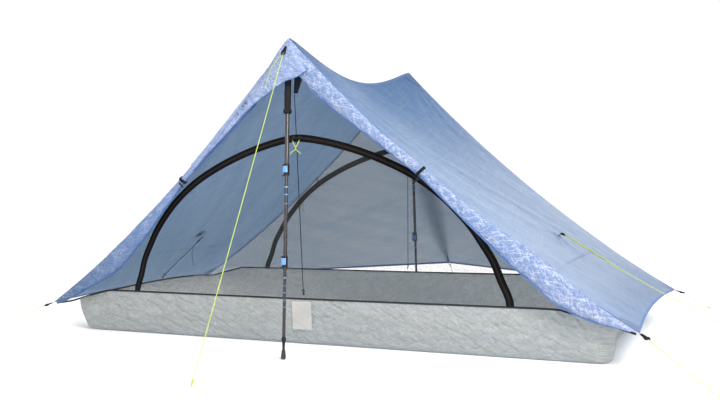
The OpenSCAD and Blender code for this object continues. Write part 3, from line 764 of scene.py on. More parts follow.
def patches(name, sign):
    """Reinforcements at the corners, peaks and tie-out, and the seam across the slope."""
    c, q = quarter()
    for label, tt in (("front", -1), ("rear", 1)):
        surface_patch("corner_patch_" + label + "_" + name, sign, 1 - 0.055 * c, tt * (1 - 0.13 * q),
                      patch_blue)
        surface_patch("peak_patch_" + label + "_" + name, sign, 0.055 * c, tt * (1 - 0.12 * q), peak_blue)
    r, a = np.meshgrid(np.linspace(0.02, 1, 12), np.linspace(0, 2 * math.pi, 40), indexing="ij")
    surface_patch("tie_patch_" + name, sign, 0.703 + 0.018 * r * np.cos(a), 0.045 * r * np.sin(a),
                  patch_blue, 0.0105 - 0.0040 * r)
    s, t = np.meshgrid(np.linspace(0.7835, 0.7870, 3), np.linspace(-0.995, 0.995, 100), indexing="ij")
    surface_patch("cross_seam_" + name, sign, s, t, seam_blue, 0.0016)


patch_blue = laminate("patch_laminate", [(0, (0.270, 0.350, 0.530))], fibre=0.35, crinkle=0.25, through=0.60)
peak_blue = laminate("peak_patch_laminate", [(0, (0.075, 0.180, 0.390))], fibre=0.35, crinkle=0.25,
                     through=0.50)
seam_blue = laminate("seam_laminate", [(0, (0.320, 0.400, 0.590))], fibre=0.35, crinkle=0.15, through=0.60)
ridge_blue = laminate("ridge_laminate", [(0, (0.080, 0.190, 0.420))], fibre=0.35, crinkle=0.15, through=0.45)
for label, sign in SIDES:
    patches("slope_" + label, sign)

t = np.linspace(-1, 1, 160)
ridge = stack(0 * t, PEAK_Y * t, ridge_z(t) + 0.0022)
off = np.array([-0.011, -0.006, 0.0, 0.006, 0.011])
p = ridge[:, None] + stack(off, 0 * off, -0.9 * np.abs(off))[None]
piece(grid("ridge_tape", p, ridge_blue), ROOT, "canopy_cloth", "ridge_seam")


# ---------------------------------------------------------------- front storm doors, furled and tied back
# places along the slope, then how far the roll's upper and lower edges lie below the slope's front edge
FURL_S = np.array([0.045, 0.12, 0.20, 0.30, 0.36, 0.42, 0.50, 0.60, 0.70, 0.76, 0.83, 0.90, 0.95, 0.985])
FURL = {1: (np.array([0.004, 0.002, -0.001, -0.003, -0.008, -0.012, -0.013, -0.017, -0.028, -0.029, -0.017,
                      -0.004, 0.001, 0.002]),
            np.array([0.064, 0.070, 0.058, 0.037, 0.029, 0.022, 0.028, 0.043, 0.059, 0.065, 0.074, 0.057,
                      0.031, 0.012])),
        -1: (np.array([0.002, -0.002, -0.004, -0.002, 0.001, 0.002, 0.001, -0.001, -0.002, -0.002, -0.001,
                       0.0, 0.001, 0.002]),
             np.array([0.066, 0.062, 0.048, 0.036, 0.031, 0.028, 0.041, 0.063, 0.080, 0.083, 0.064, 0.047,
                       0.033, 0.021]))}


def furl(s, sign):
    """Half width and centre of a furled door at s."""
    s = np.asarray(s, float)
    knots = stack(FURL_S, *FURL[sign])
    fine = curve_points(knots, 200)
    hi, lo = np.interp(s, fine[:, 0], fine[:, 1]), np.interp(s, fine[:, 0], fine[:, 2])
    forward = 0.003 + (0.028 if sign > 0 else 0.012) * np.exp(-(s / 0.12) ** 2)
    c = canopy(s, -1.0) - UP * ((hi + lo) / 2)[..., None] - stack(0 * s, forward, 0 * s)
    return (lo - hi) / 2, c


def roll(label, sign, seed, turns):
    """A door rolled on its long edge: turns of cloth wound inward from the slope's front edge."""
    n, m = 330, 112
    s, u = np.meshgrid(np.linspace(0.045 if sign > 0 else 0.10, 0.985, n), np.linspace(0, 1, m),
                       indexing="ij")
    th = turns * 2 * math.pi * u
    w, c = furl(s, sign)
    along = s * SLOPE_LENGTH
    flat = 1 - 0.52 * u
    a = w * flat * (1 + 0.06 * rumple(stack(along * 6, th * 0.5, 0 * s), seed, 2))
    b = 0.0112 * (1 - 0.72 * u) * (1 + 0.25 * rumple(stack(along * 9, th * 0.4, 0 * s + 3), seed + 2, 2))
    ca, sa = np.cos(th), np.sin(th)
    shape = np.sign(ca) * np.abs(ca) ** 0.8
    q = stack(along * 8 + 9 * a * shape, (a * shape) * 52 + along * 2.2, sa * 1.3 + u * 2)
    fold = ridged(q, seed + 4, 3)
    fine = rumple(q * [2.6, 2.2, 1.0] + 9, seed + 6, 2)
    pinch = np.exp(-((s - 0.42) / 0.055) ** 2)
    gather = np.sin(a * shape * 420 + 3 * rumple(stack(along * 3, 0 * s, 0 * s), seed + 8, 1)) * pinch
    d = (0.0034 * fold + 0.0014 * fine) * (1 - 0.45 * pinch) * (0.5 + 0.5 * flat) + 0.0016 * gather
    off = np.minimum(b + d * 0.55, 0.0135)
    p = c + UP * (a * shape + d * ca * 0.8)[..., None]
    p[..., 1] -= off * sa + 0.0006
    lead = smooth(u, 0.0, 0.03)
    p = canopy(s, -1.0) * (1 - lead[..., None]) + p * lead[..., None]
    uv = stack(along, th * w * 0.7)
    mat = roll_right if sign > 0 else roll_left
    return grid("storm_door_front_" + label, side_of(p, sign), mat, uv, flip=sign > 0)


for label, sign, seed, turns in (("right", 1, 21, 3.9), ("left", -1, 37, 4.4)):
    ob = roll(label, sign, seed, turns)
    piece(ob, ROOT, "canopy_cloth", "front_door_" + label)
    s = np.linspace(0.15 if sign < 0 else 0.10, 0.983, 220)
    w, c = furl(s, sign)
    low = c - UP * w[:, None] + [0, -0.004, 0]
    low = low + UP * (0.0012 * rumple(stack(s * 30, 0 * s, 0 * s), seed, 2))[:, None]
    piece(swept("door_hem_front_" + label, side_of(low, sign), ring(0.0042, 8, 0.5)[:, ::-1], hem_mat,
                up=(0, 1, 0)), ROOT, "canopy_cloth")


def bib():
    """The top of the left door, brought across the pole under the peak."""
    n, m = 80, 170
    k, j = np.meshgrid(np.linspace(0.02, 1, n), np.linspace(0, 1, m), indexing="ij")
    reach = 0.375
    left, right = mirror_x(canopy(reach * k, -1.0)), canopy(0.088 * k, -1.0)
    sk = np.array([0.375, 0.33, 0.28, 0.235, 0.19])
    w, c = furl(sk, -1)
    inner = mirror_x(c - UP * (w + 0.001)[:, None])
    keys = np.concatenate([mirror_x(canopy(reach, -1.0))[None], inner,
                           [[-0.141, -0.661, 0.944], [-0.080, -0.667, 0.976],
                           [-0.003, -0.671, 1.016], [0.032, -0.671, 1.025], [0.067, -0.669, 1.039]],
                           canopy(0.088, -1.0)[None]])
    low = curve_points(keys, m)
    g = (k ** 1.1)[..., None]
    p = lerp(left, right, j[..., None]) + g * (low - lerp(left[-1], right[-1], j[..., None]))
    side = smooth(np.minimum(j, 1 - j), 0.0, 0.07)
    front = -0.6495 - 0.028 * np.exp(-(np.abs(p[..., 0]) / 0.149) ** 2)
    drop = k - 0.25 * smooth(np.abs(p[..., 0]), 0.03, 0.10)
    p[..., 1] = lerp(-0.636, front, side * smooth(drop, -0.25, 0.55)) - 0.002 * smooth(k, 0, 0.2)
    q = stack(p[..., 0] * 22 - p[..., 2] * 12, (p[..., 2] + p[..., 0] * 0.9) * 42, 0 * k)
    folds = 0.0026 * ridged(q, 51, 3) + 0.0012 * rumple(q * [3, 2, 1], 52, 2)
    p[..., 1] -= folds * side * smooth(1 - k, 0, 0.08)
    uv = stack(p[..., 0], p[..., 2]) * 1.02 + [9, 0]
    return grid("peak_bib", p, bib_mat, uv), p[-1]


ob, low = bib()
piece(ob, ROOT, "canopy_cloth", "front_door_left")
piece(swept("peak_bib_hem", low[6:-1] + [0, -0.0008, 0.001], ring(0.0030, 8, 0.4)[:, ::-1], hem_mat,
            up=(0, 1, 0)), ROOT, "canopy_cloth")


# ---------------------------------------------------------------- rear storm doors, closed
DOOR_OUT = unit([0.30, 0.86, 0.40])


def rear_door(sign):
    """Cloth from the rear edge of a slope to the hook behind the tub; the right one lies outside."""
    n, m = 120, 90
    v, k = np.meshgrid(np.linspace(0, 1, n), np.linspace(0, 1, m), indexing="ij")
    free = lerp(np.array([0.002, 0.640, 1.183]), np.array([0.002, 1.212, 0.170]), v[..., None])
    lap = 0.080 if sign > 0 else 0.045
    free = free - stack(lap * np.sin(math.pi * v ** 1.15).clip(0) ** 0.8, 0 * v, 0 * v)
    free[..., 1] += 0.003 if sign > 0 else -0.001
    edge = canopy(0.012 + 0.984 * v, 1.0) + [0, 0.0006, -0.0012]
    p = edge * (1 - k[..., None]) + free * k[..., None]
    r = np.hypot(p[..., 0], p[..., 2] - 1.18) + 0.02
    ang = np.arctan2(p[..., 0], 1.25 - p[..., 2])
    body = smooth(k, 0, 0.08) * smooth(1 - v, 0, 0.04) * smooth(v, 0, 0.06)
    fan = 0.004 * np.sin(ang * 24 + 2 * rumple(p * 2, 61, 2)) * np.exp(-r / 0.7)
    belly = 0.006 * smooth(np.sin(math.pi * k)) * np.sin(math.pi * v).clip(0)
    d = fan + 0.0035 * rumple(p * 5, 63, 3) + belly
    flatten = 1 - 0.8 * smooth(k, 0.85, 1)
    p = p + DOOR_OUT * (d * body * flatten)[..., None]
    p[..., 2] -= 0.050 * np.exp(-((k - 0.13) / 0.15) ** 2) * smooth(k, 0, 0.05) * v ** 8
    uv = stack(k * 0.95 * (0.25 + v), v * 1.5) + [12, 0]
    return p, uv


for label, sign in SIDES:
    p, uv = rear_door(sign)
    q = side_of(p, sign)
    ob = grid("storm_door_rear_" + label, q, door_mat, uv + [0 if sign > 0 else 4, 0], flip=sign < 0)
    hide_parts("rear_door_" + label)
    mid = side_of(np.array([0.621, 0.6235, 0.657]), sign)
    tilt = math.radians(36.9)
    d = math.cos(tilt) * side_of(np.array([-0.649, 0, -0.7606]), sign) + math.sin(tilt) * np.array([0, 1, 0])
    start, end = mid + d * 0.046, mid + d * 0.16
    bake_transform(ob)
    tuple(start)
    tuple(end)
    trims = [("hem", q[-1, 2:], unit(q[-3, 2:] - q[-1, 2:])), ("lap", q[3:, -1], unit(q[3:, -3] - q[3:, -1]))]
    for part, line, inn in trims:
        out = np.broadcast_to(side_of(DOOR_OUT, sign), line.shape)
        h = edging("storm_door_rear_" + part + "_" + label, line, inn, out, 0.012, hem_mat)
        h.parent = None
        del h["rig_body"]
        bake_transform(h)
        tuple(start)
        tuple(end)


# ---------------------------------------------------------------- the tub: floor and four walls in one sheet
def rim_height(x):
    a = np.abs(x)
    return np.interp(a, [0, 0.5, 0.95, 1.053, 1.148], [0.181, 0.1815, 0.182, 0.163, 0.137])


def end_height(y):
    return np.interp(np.abs(y), [0, 0.297, 0.532, 0.56], [0.168, 0.159, 0.137, 0.137])


def tub():
    """Floor and walls as one sheet: rows of points up the walls, and a grid inside their lowest row."""
    rc, nl, ns, nc = 0.050, 190, 96, 7
    y = (FW - rc) * np.linspace(-1, 1, ns)
    bow = BOW * (1 - (y / (FW - rc)) ** 2)

    def side(rr, half, across, n_mid, hold):
        """One side from its 45 degree corner to the next: along, outward."""
        a0 = np.linspace(math.pi / 4, 0, nc, endpoint=False)
        start = stack(-(half - rr) - rr * np.sin(a0), across - rr + rr * np.cos(a0))
        mid = stack((half - rr) * np.linspace(-1, 1, n_mid), across - hold)
        a1 = np.linspace(0, math.pi / 4, nc + 1)[1:]
        stop = stack((half - rr) + rr * np.sin(a1), across - rr + rr * np.cos(a1))
        return np.concatenate([start, mid, stop])

    def loop(rr, hx, hy, bows, zl, ze):
        lo = side(rr, hx, hy, nl, np.zeros(nl))
        sh = side(rr, hy, hx, ns, bows)
        front = stack(lo[:, 0], -lo[:, 1], zl(lo[:, 0]))
        right = stack(sh[:, 1], sh[:, 0], ze(sh[:, 0]))
        return [front, right, front * [-1, -1, 1], right * [-1, -1, 1]]

    def flat(q):
        return 0 * q

    base = loop(rc, FL, FW, bow, flat, flat)
    rim = loop(0.016, 1.149, 0.5575, 0.050 * (1 - (y / 0.49) ** 2).clip(0), rim_height, end_height)
    foot, rim_line = (np.concatenate([q[:-1] for q in sides]) for sides in (base, rim))
    around = len(foot)
    tang = unit(np.roll(foot, -1, 0) - np.roll(foot, 1, 0))
    outn = stack(tang[:, 1], -tang[:, 0], 0 * tang[:, 0])
    fillet = 0.026                                    # radius from floor to wall
    rows = []
    for phi in np.linspace(0, math.pi / 2, 7):
        rows.append(foot - outn * fillet * (1 - math.sin(phi)) + [0, 0, fillet * (1 - math.cos(phi))])
    top = rows[-1]
    for g in np.linspace(0, 1, 27)[1:]:
        belly = 0.006 * math.sin(math.pi * g)
        rows.append(top * (1 - g) + rim_line * g + outn * belly)
    walls = np.stack(rows, 1)

    # wrinkles, panel seams and the pull of the corners on the walls
    arc = run_along(rim_line)
    high = walls[..., 2] / np.maximum(rim_line[:, None, 2], 0.05)
    ends = smooth(np.abs(walls[..., 0]), 0.55, 1.1)
    q = stack(np.broadcast_to(arc[:, None], high.shape) * 3.2, high * 2.6, 0 * high)
    diag = stack(q[..., 0] * 3.1 + high * 3.0 * np.sign(walls[..., 0] + 0.2), high * 5.5 - q[..., 0] * 0.6,
                 0 * high + 4)
    lift = 0.0050 * rumple(q, 71, 3) + (0.0022 + 0.0060 * ends) * (1 - 2.4 * np.abs(rumple(diag, 73, 4))) \
        + 0.0022 * ridged(q * [0.5, 5, 1] + 9, 75, 2)
    for xf in (-0.86, -0.57, -0.285, 0.0, 0.285, 0.57, 0.86):
        lift = lift + 0.0022 * np.exp(-((walls[..., 0] - xf - 0.004 * np.sin(high * 7)) / 0.0065) ** 2)
    pinned = 1 - 0.8 * smooth(np.abs(walls[..., 0]), 1.06, 1.13)
    hold = smooth(high, 0.0, 0.35) * smooth(1 - high, 0.0, 0.12) * pinned
    walls = walls + outn[:, None] * (lift * hold)[..., None]
    walls[..., 2] = np.maximum(walls[..., 2] + 0.0005, 0.0005)
    corner = smooth(walls[..., 1], 0.25, 0.54) * smooth(np.abs(walls[..., 0]), 0.8, 1.1)
    walls[..., 0] -= np.sign(walls[..., 0]) * 0.026 * corner * (1 - 0.5 * high.clip(0, 1))

    # the floor, blended between its four edges
    n_long, n_short = len(base[0]), len(base[1])
    ring0 = walls[:, 0]
    front_edge = ring0[:n_long]
    right_edge = ring0[n_long - 1:n_long - 1 + n_short]
    rear_edge = ring0[n_long + n_short - 2:2 * n_long + n_short - 2][::-1]
    left_edge = np.concatenate([ring0[2 * n_long + n_short - 3:], ring0[:1]])[::-1]
    i, j = np.meshgrid(np.linspace(0, 1, n_long), np.linspace(0, 1, n_short), indexing="ij")
    i, j = i[..., None], j[..., None]
    floor = lerp(front_edge[:, None], rear_edge[:, None], j) + lerp(left_edge[None], right_edge[None], i) \
        - lerp(lerp(front_edge[0], front_edge[-1], i), lerp(rear_edge[0], rear_edge[-1], i), j)
    wr = 0.5 + 0.5 * rumple(floor * [4, 6, 1], 81, 3)
    crease = ridged(floor * [7, 9, 1] + 3, 83, 3).clip(0)
    rimmed = smooth(np.minimum(i, 1 - i)[..., 0], 0, 0.02) * smooth(np.minimum(j, 1 - j)[..., 0], 0, 0.05)
    floor[..., 2] = 0.0005 + (0.0035 * wr ** 2 + 0.0030 * crease) * rimmed

    # faces and UVs: the walls round the floor, then the floor
    verts = np.concatenate([walls.reshape(-1, 3), floor[1:-1, 1:-1].reshape(-1, 3)])
    levels = walls.shape[1]
    faces, luv = [], []
    run = np.concatenate([arc, [arc[-1] + np.linalg.norm(rim_line[0] - rim_line[-1])]])
    rise = run_along(walls[0])
    for a in range(around):
        b = (a + 1) % around
        for r in range(levels - 1):
            faces.append((a * levels + r, b * levels + r, b * levels + r + 1, a * levels + r + 1))
            luv += [(run[a], 3 + rise[r]), (run[a + 1], 3 + rise[r]), (run[a + 1], 3 + rise[r + 1]),
                    (run[a], 3 + rise[r + 1])]

    def at(a, b):
        """Vertex of the floor's grid point; its edge points belong to the walls."""
        if b == 0:
            return a * levels
        if a == n_long - 1:
            return (n_long - 1 + b) * levels
        if b == n_short - 1:
            return (n_long - 1 + n_short - 1 + (n_long - 1 - a)) * levels
        if a == 0:
            return ((2 * n_long + n_short - 3 + (n_short - 1 - b)) % around) * levels
        return around * levels + (a - 1) * (n_short - 2) + (b - 1)

    for a in range(n_long - 1):
        for b in range(n_short - 1):
            quad = ((a, b), (a, b + 1), (a + 1, b + 1), (a + 1, b))
            faces.append(tuple(at(*c) for c in quad))
            luv += [tuple(floor[c][:2]) for c in quad]
    return mesh_from("bathtub_floor", verts, faces, np.array(luv), tub_mat)


ob = tub()
piece(ob, ROOT, "floor_cloth", "tub_floor", "tub_wall_front", "tub_wall_rear", "tub_end_left",
      "tub_end_right")

a, b = np.meshgrid(np.linspace(-0.052, 0.032, 14), np.linspace(0.062, 0.172, 16), indexing="ij")
yy = -(0.5525 + 0.030 * (b - 0.03)) - 0.0085 - 0.0012 * rumple(stack(a * 30, b * 30, 0 * a), 5, 2)
piece(grid("tub_wall_patch", stack(a, yy, b), patch_mat), ROOT, "floor_cloth")


# ---------------------------------------------------------------- rim tape
TAPE = np.array([[-0.0013, -0.0035], [0.0013, -0.0035], [0.0016, 0.0], [0.0013, 0.0033], [0.0, 0.0038],
                 [-0.0013, 0.0033], [-0.0016, 0.0]])
lx = np.array([1.230, 1.205, 1.175, 1.148, 1.100, 1.053, 1.000, 0.950, 0.70, 0.35])
ly = np.array([0.609, 0.592, 0.571, 0.553, 0.5555, 0.558, 0.5588, 0.559, 0.559, 0.559])
lz = np.array([0.121, 0.1245, 0.129, 0.1375, 0.151, 0.163, 0.175, 0.182, 0.1825, 0.1815])
half = stack(lx, -ly, lz + 0.001)
long_rim = curve_points(np.concatenate([mirror_x(half), [[0, -0.559, 0.182]], half[::-1]]), 300)
ends = np.array([[1.141, -0.532, 0.137], [1.128, -0.42, 0.148], [1.1151, -0.297, 0.159],
                 [1.102, -0.14, 0.166], [1.098, 0, 0.168]])
end_rim = curve_points(np.concatenate([ends, mirror_y(ends[:-1])[::-1]]) + [0.0, 0, 0.0005], 140)
parts = [sweep(p, TAPE, up=(0, 0, 1)) for p in (long_rim, mirror_y(long_rim), end_rim, mirror_x(end_rim))]
assembled("rim_tape", parts, rim_mat, "webbing", "rim_binding")


# ---------------------------------------------------------------- insect net walls and doors
def wall(xv, w=0.0, rear=False):
    """Wall plane (x, v) to the row frame, w out from the face."""
    xv = np.asarray(xv, float)
    v = xv[..., 1]
    y = -RIM_Y - math.sin(LEAN) * v - math.cos(LEAN) * w
    z = RIM_H + math.cos(LEAN) * v - math.sin(LEAN) * w
    return stack(xv[..., 0], -y if rear else y, z)


crown_c = np.array([-CROWN_R * math.sin(APEX), ARCH_H - CROWN_R * math.cos(APEX)])
haunch_c = crown_c + (CROWN_R - HAUNCH_R) * np.array([math.sin(JOIN), math.cos(JOIN)])
foot_a = math.acos(-haunch_c[1] / HAUNCH_R)


def arch(n, off=0.0, stop=None):
    """Stations (x, v) on the arch from left foot to right foot, off outward."""
    th = np.linspace(APEX, stop or foot_a, n)
    crown = th < JOIN
    c = np.where(crown[:, None], crown_c, haunch_c)
    r = np.where(crown, CROWN_R, HAUNCH_R) + off
    half = c + r[:, None] * stack(np.sin(th), np.cos(th))
    half[0, 0] = 0
    half[:, 1] -= math.tan(APEX) * (np.sqrt(half[:, 0] ** 2 + 0.03 ** 2) - np.abs(half[:, 0]))
    return np.concatenate([half[::-1] * [-1, 1], half[1:]])


def roof(x):
    """v of the slopes' underside over the wall plane."""
    x = np.abs(x)
    v = np.full_like(x, 0.3)
    for _ in range(30):
        y = RIM_Y + math.sin(LEAN) * v
        s = x / CX
        for _ in range(4):
            t = y / lerp(PEAK_Y, CY, s)
            s = np.clip(x / (CX - HEM_BOW * (1 - t * t)), 0, 1)
        t = np.clip(t, 0, 1)
        v = 0.5 * v + 0.5 * (canopy(s, t)[..., 2] - 0.006 - RIM_H) / math.cos(LEAN)
    return v


def net_wall(name, rear):
    """Net between the arch and the slopes' undersides."""
    n = 110
    inner = arch(n, 0.0105)
    keys = [[0.8225, 0.003], [0.950, 0.003], [1.053, -0.004], [1.088, -0.012], [1.096, 0.014]]
    xs = np.linspace(1.090, 0.0, 120)
    top = stack(xs, np.minimum(roof(xs), 0.905))
    half = np.concatenate([np.array(keys), top[1:]])
    run = run_along(half)
    ri = inner[n - 1:]
    ru = run_along(ri[::-1])
    share = ru / ru[-1]
    outer = stack(*(np.interp(share * run[-1], run, half[:, i]) for i in (0, 1)))[::-1]
    full = np.concatenate([outer[::-1] * [-1, 1], outer[1:]])
    k = np.linspace(0, 1, 34)[None, :, None]
    p = inner[:, None] * (1 - k) + full[:, None] * k
    d = 0.0035 * rumple(np.concatenate([p * [6, 6], 0 * p[..., :1]], -1), 91 + rear, 3) + 0.0012 * rumple(
        np.concatenate([p * [3, 30], 0 * p[..., :1]], -1), 95, 2)
    d = d * fade(k[..., 0], 0.12, 0.12)
    ob = grid("net_wall_" + name, wall(p, d, rear), net_mat, p, flip=not rear)
    piece(ob, ROOT, "insect_mesh", "mesh_wall_" + name)


def net_door(name, rear):
    """Net inside the arch, down to the rim."""
    a = arch(90, -0.0115)
    a[:, 1] = np.maximum(a[:, 1], 0.0055)
    k = np.linspace(0, 1, 60)[None, :]
    p = stack(np.broadcast_to(a[:, :1], (len(a), 60)), 0.004 + k * (a[:, 1:] - 0.004))
    d = 0.005 * rumple(np.concatenate([p * [4, 4], 0 * p[..., :1]], -1), 101 + rear, 3) + 0.0014 * rumple(
        np.concatenate([p * [4, 26], 0 * p[..., :1]], -1), 105, 2)
    d = d * fade(k, 0.1, 0.08)
    ob = grid("net_door_" + name, wall(p, d, rear), net_mat, p + [3, 0], flip=rear)
    piece(ob, "inner_door_" + name, "insect_mesh", "mesh_door_" + name)


ENDS = (("front", False), ("rear", True))
for end, rear in ENDS:
    net_wall(end, rear)
    net_door(end, rear)


def end_net(label, sign):
    """Net strip from an end wall's rim up to the slope's hem."""
    reach = 0.955
    t = np.linspace(-reach, reach, 110)
    top = canopy(0.992, t) - UP * 0.004
    low = stack(*(np.interp(t, np.linspace(-reach, reach, 140), end_rim[:, i]) for i in range(3)))
    low = low + [0.002, 0, 0.002]
    k = np.linspace(0, 1, 24)[None, :, None]
    p = low[:, None] * (1 - k) + top[:, None] * k
    p = p + np.array([0, 0, 1]) * (0.004 * rumple(p * 9, 111, 2)[..., None]
                                   - 0.008 * np.sin(math.pi * k)) * fade(k, 0.2, 0.2)
    ob = grid("net_end_" + label, side_of(p, sign), net_mat, flip=sign < 0)
    piece(ob, ROOT, "insect_mesh", "mesh_ends")


for label, sign in SIDES:
    end_net(label, sign)


# ---------------------------------------------------------------- zips
def zip_track(name, rear):
    """Tape and coil along the arch, less even near its feet."""
    a = arch(170)
    run = run_along(a)
    low = np.exp(-a[:, 1] / 0.13)
    tang = unit(np.gradient(a, axis=0))
    norm = stack(-tang[:, 1], tang[:, 0])
    path = a + norm * (0.0042 * low * np.sin(run * 44 + 1))[:, None]
    out = 0.0010 * np.sin(run * 30) * low + 0.0012
    p = wall(path, out, rear)
    face = (0, (1 if rear else -1) * math.cos(LEAN), -math.sin(LEAN))
    tape = np.array([[-0.0142, -0.0005], [-0.0035, -0.0006], [0.0035, -0.0006], [0.0142, -0.0005],
                     [0.0144, 0.0],
                     [0.0142, 0.0008], [0.0125, 0.0011], [0.0036, 0.0009], [-0.0036, 0.0009],
                     [-0.0125, 0.0011], [-0.0142, 0.0008],
                     [-0.0144, 0]])
    piece(swept("zip_tape_" + name, p, tape, tape_mat, up=face), ROOT, "zip_tape", "zip_track_" + name)
    coil = np.array([[-0.0034, 0.0008], [0.0034, 0.0008], [0.0036, 0.0016], [0.0028, 0.0024], [0.0, 0.0027],
                     [-0.0028, 0.0024], [-0.0036, 0.0016]])
    piece(swept("zip_coil_" + name, p, coil, coil_mat, up=face), ROOT, "zip_tape")


for end, rear in ENDS:
    zip_track(end, rear)


def on_arch(deg, left=False, radial=0.0):
    """(x, v) and the outward direction in the plane at an angle of the arch."""
    th = math.radians(deg)
    c, r = (crown_c, CROWN_R) if th < JOIN else (haunch_c, HAUNCH_R)
    out = np.array([math.sin(th), math.cos(th)])
    q = c + (r + radial) * out
    k = np.array([-1, 1]) if left else np.array([1, 1])
    return q * k, out * k


def rounded_block(long, wide, high, r):
    """A block with soft edges about the origin: a superellipsoid grid."""
    u = np.linspace(-math.pi / 2, math.pi / 2, 9)
    w = np.linspace(-math.pi, math.pi, 25)[:-1]
    uu, ww = np.meshgrid(u, w, indexing="ij")

    def power(q):
        return np.sign(q) * np.abs(q) ** r

    p = stack(long / 2 * power(np.cos(uu)) * power(np.cos(ww)), wide / 2 * power(np.cos(uu))
              * power(np.sin(ww)),
                  high / 2 * power(np.sin(uu)))
    f = [q[::-1] for q in grid_faces(9, 24, wrap=True)]
    return p.reshape(-1, 3), f, stack(uu, ww).reshape(-1, 2) * 0.01


def set_in(part, origin, X, Y, Z):
    """A part moved from the origin to a place and turned to three axes."""
    v, f, u = part
    m = np.stack([X, Y, Z], 0)
    return np.asarray(v) @ m + np.asarray(origin), f, u


def slider(name, deg, left, rear, body, node):
    """Zip slider at an angle of the arch; gives back where its pull starts and the way out of the wall."""
    xv, out = on_arch(deg, left)
    o = wall(xv, 0.0038, rear)
    Z = unit(np.array([0, (1 if rear else -1) * math.cos(LEAN), -math.sin(LEAN)]))
    Y = unit(wall(xv + out * 0.01, 0.0038, rear) - o)
    X = unit(np.cross(Y, Z))
    down = np.array([0, 0, -1.0])
    shell = rounded_block(0.017, 0.013, 0.0040, 0.55)
    bridge = sweep(np.array([[-0.006, 0, 0.001], [-0.005, 0, 0.0042], [0, 0, 0.0052], [0.005, 0, 0.0042],
                             [0.006, 0, 0.001]]),
                   ring(0.0012, 8, 0.7))
    drop, away = np.linspace(0.0, 0.014, 6)[:, None], 0.001 * np.sin(np.linspace(0, 3, 6))[:, None]
    tab_path = o + Z * 0.0045 + down * drop + Z * away
    tab = sweep(tab_path, np.array([[-0.0028, -0.0006], [0.0028, -0.0006], [0.0030, 0], [0.0028, 0.0006],
                                    [-0.0028, 0.0006], [-0.0030, 0]]), up=Z)
    parts = [set_in(shell, o, X, Y, Z), set_in(bridge, o, X, Y, Z), tab]
    assembled(name, parts, plastic_mat, "black_plastic", node, body=body)
    return tab_path[-1], Z


pulls = {
    "front_left": (8.6, True, False, [[0, 0, 0], [0.004, 0.0018, -0.012], [0.012, 0.0022, -0.024],
                                      [0.014, 0.0020, -0.034], [0.030, 0.0030, -0.046],
                                      [0.034, 0.003, -0.052]]),
    "front_right": (8.6, False, False, [[0, 0, 0], [-0.004, 0.005, -0.012], [-0.011, 0.006, -0.024],
                                        [-0.014, 0.006, -0.033], [-0.031, 0.006, -0.043],
                                        [-0.037, 0.006, -0.052]]),
    "rear_upper": (43.0, True, True, [[0, 0, 0], [-0.004, 0.002, -0.012], [-0.016, 0.003, -0.022],
                                      [-0.024, 0.003, -0.034], [-0.022, 0.003, -0.050]]),
    "rear_lower": (44.6, True, True, [[0, 0, 0], [0.004, 0.002, -0.010], [0.010, 0.003, -0.024],
                                      [0.007, 0.003, -0.038], [0.016, 0.003, -0.050]]),
}
for key, (deg, left, rear, keys) in pulls.items():
    body = "zip_slider_" + key
    end, which = key.split("_")
    tip, out = slider("slider_" + key, deg, left, rear, body, end + "_slider_" + which)
    k = np.array(keys)
    path = curve_points(tip + stack(k[:, 0], 0 * k[:, 0], k[:, 2]) + out * k[:, 1:2] + [0, 0, 0.002], 26)
    cord_piece("zip_pull_" + key, path, PULL_D, lime_mat, "lime_cord", body=body)


# ---------------------------------------------------------------- tie-outs: tabs, buckles and line tails
def loop_frame(w, l, th, flat=0.7):
    """A rounded rectangular wire in local X and Y."""
    r = min(w, l) * 0.25
    out = []
    for cx, cy, a0 in ((w / 2 - r, l / 2 - r, 0), (-w / 2 + r, l / 2 - r, 90),
                       (-w / 2 + r, -l / 2 + r, 180), (w / 2 - r, -l / 2 + r, 270)):
        for a in np.linspace(a0, a0 + 90, 6):
            out.append([cx + r * math.cos(math.radians(a)), cy + r * math.sin(math.radians(a)), 0])
    out = np.array(out + [out[0]])
    return sweep(out, ring(th / 2, 8, flat), up=(0, 0, 1))


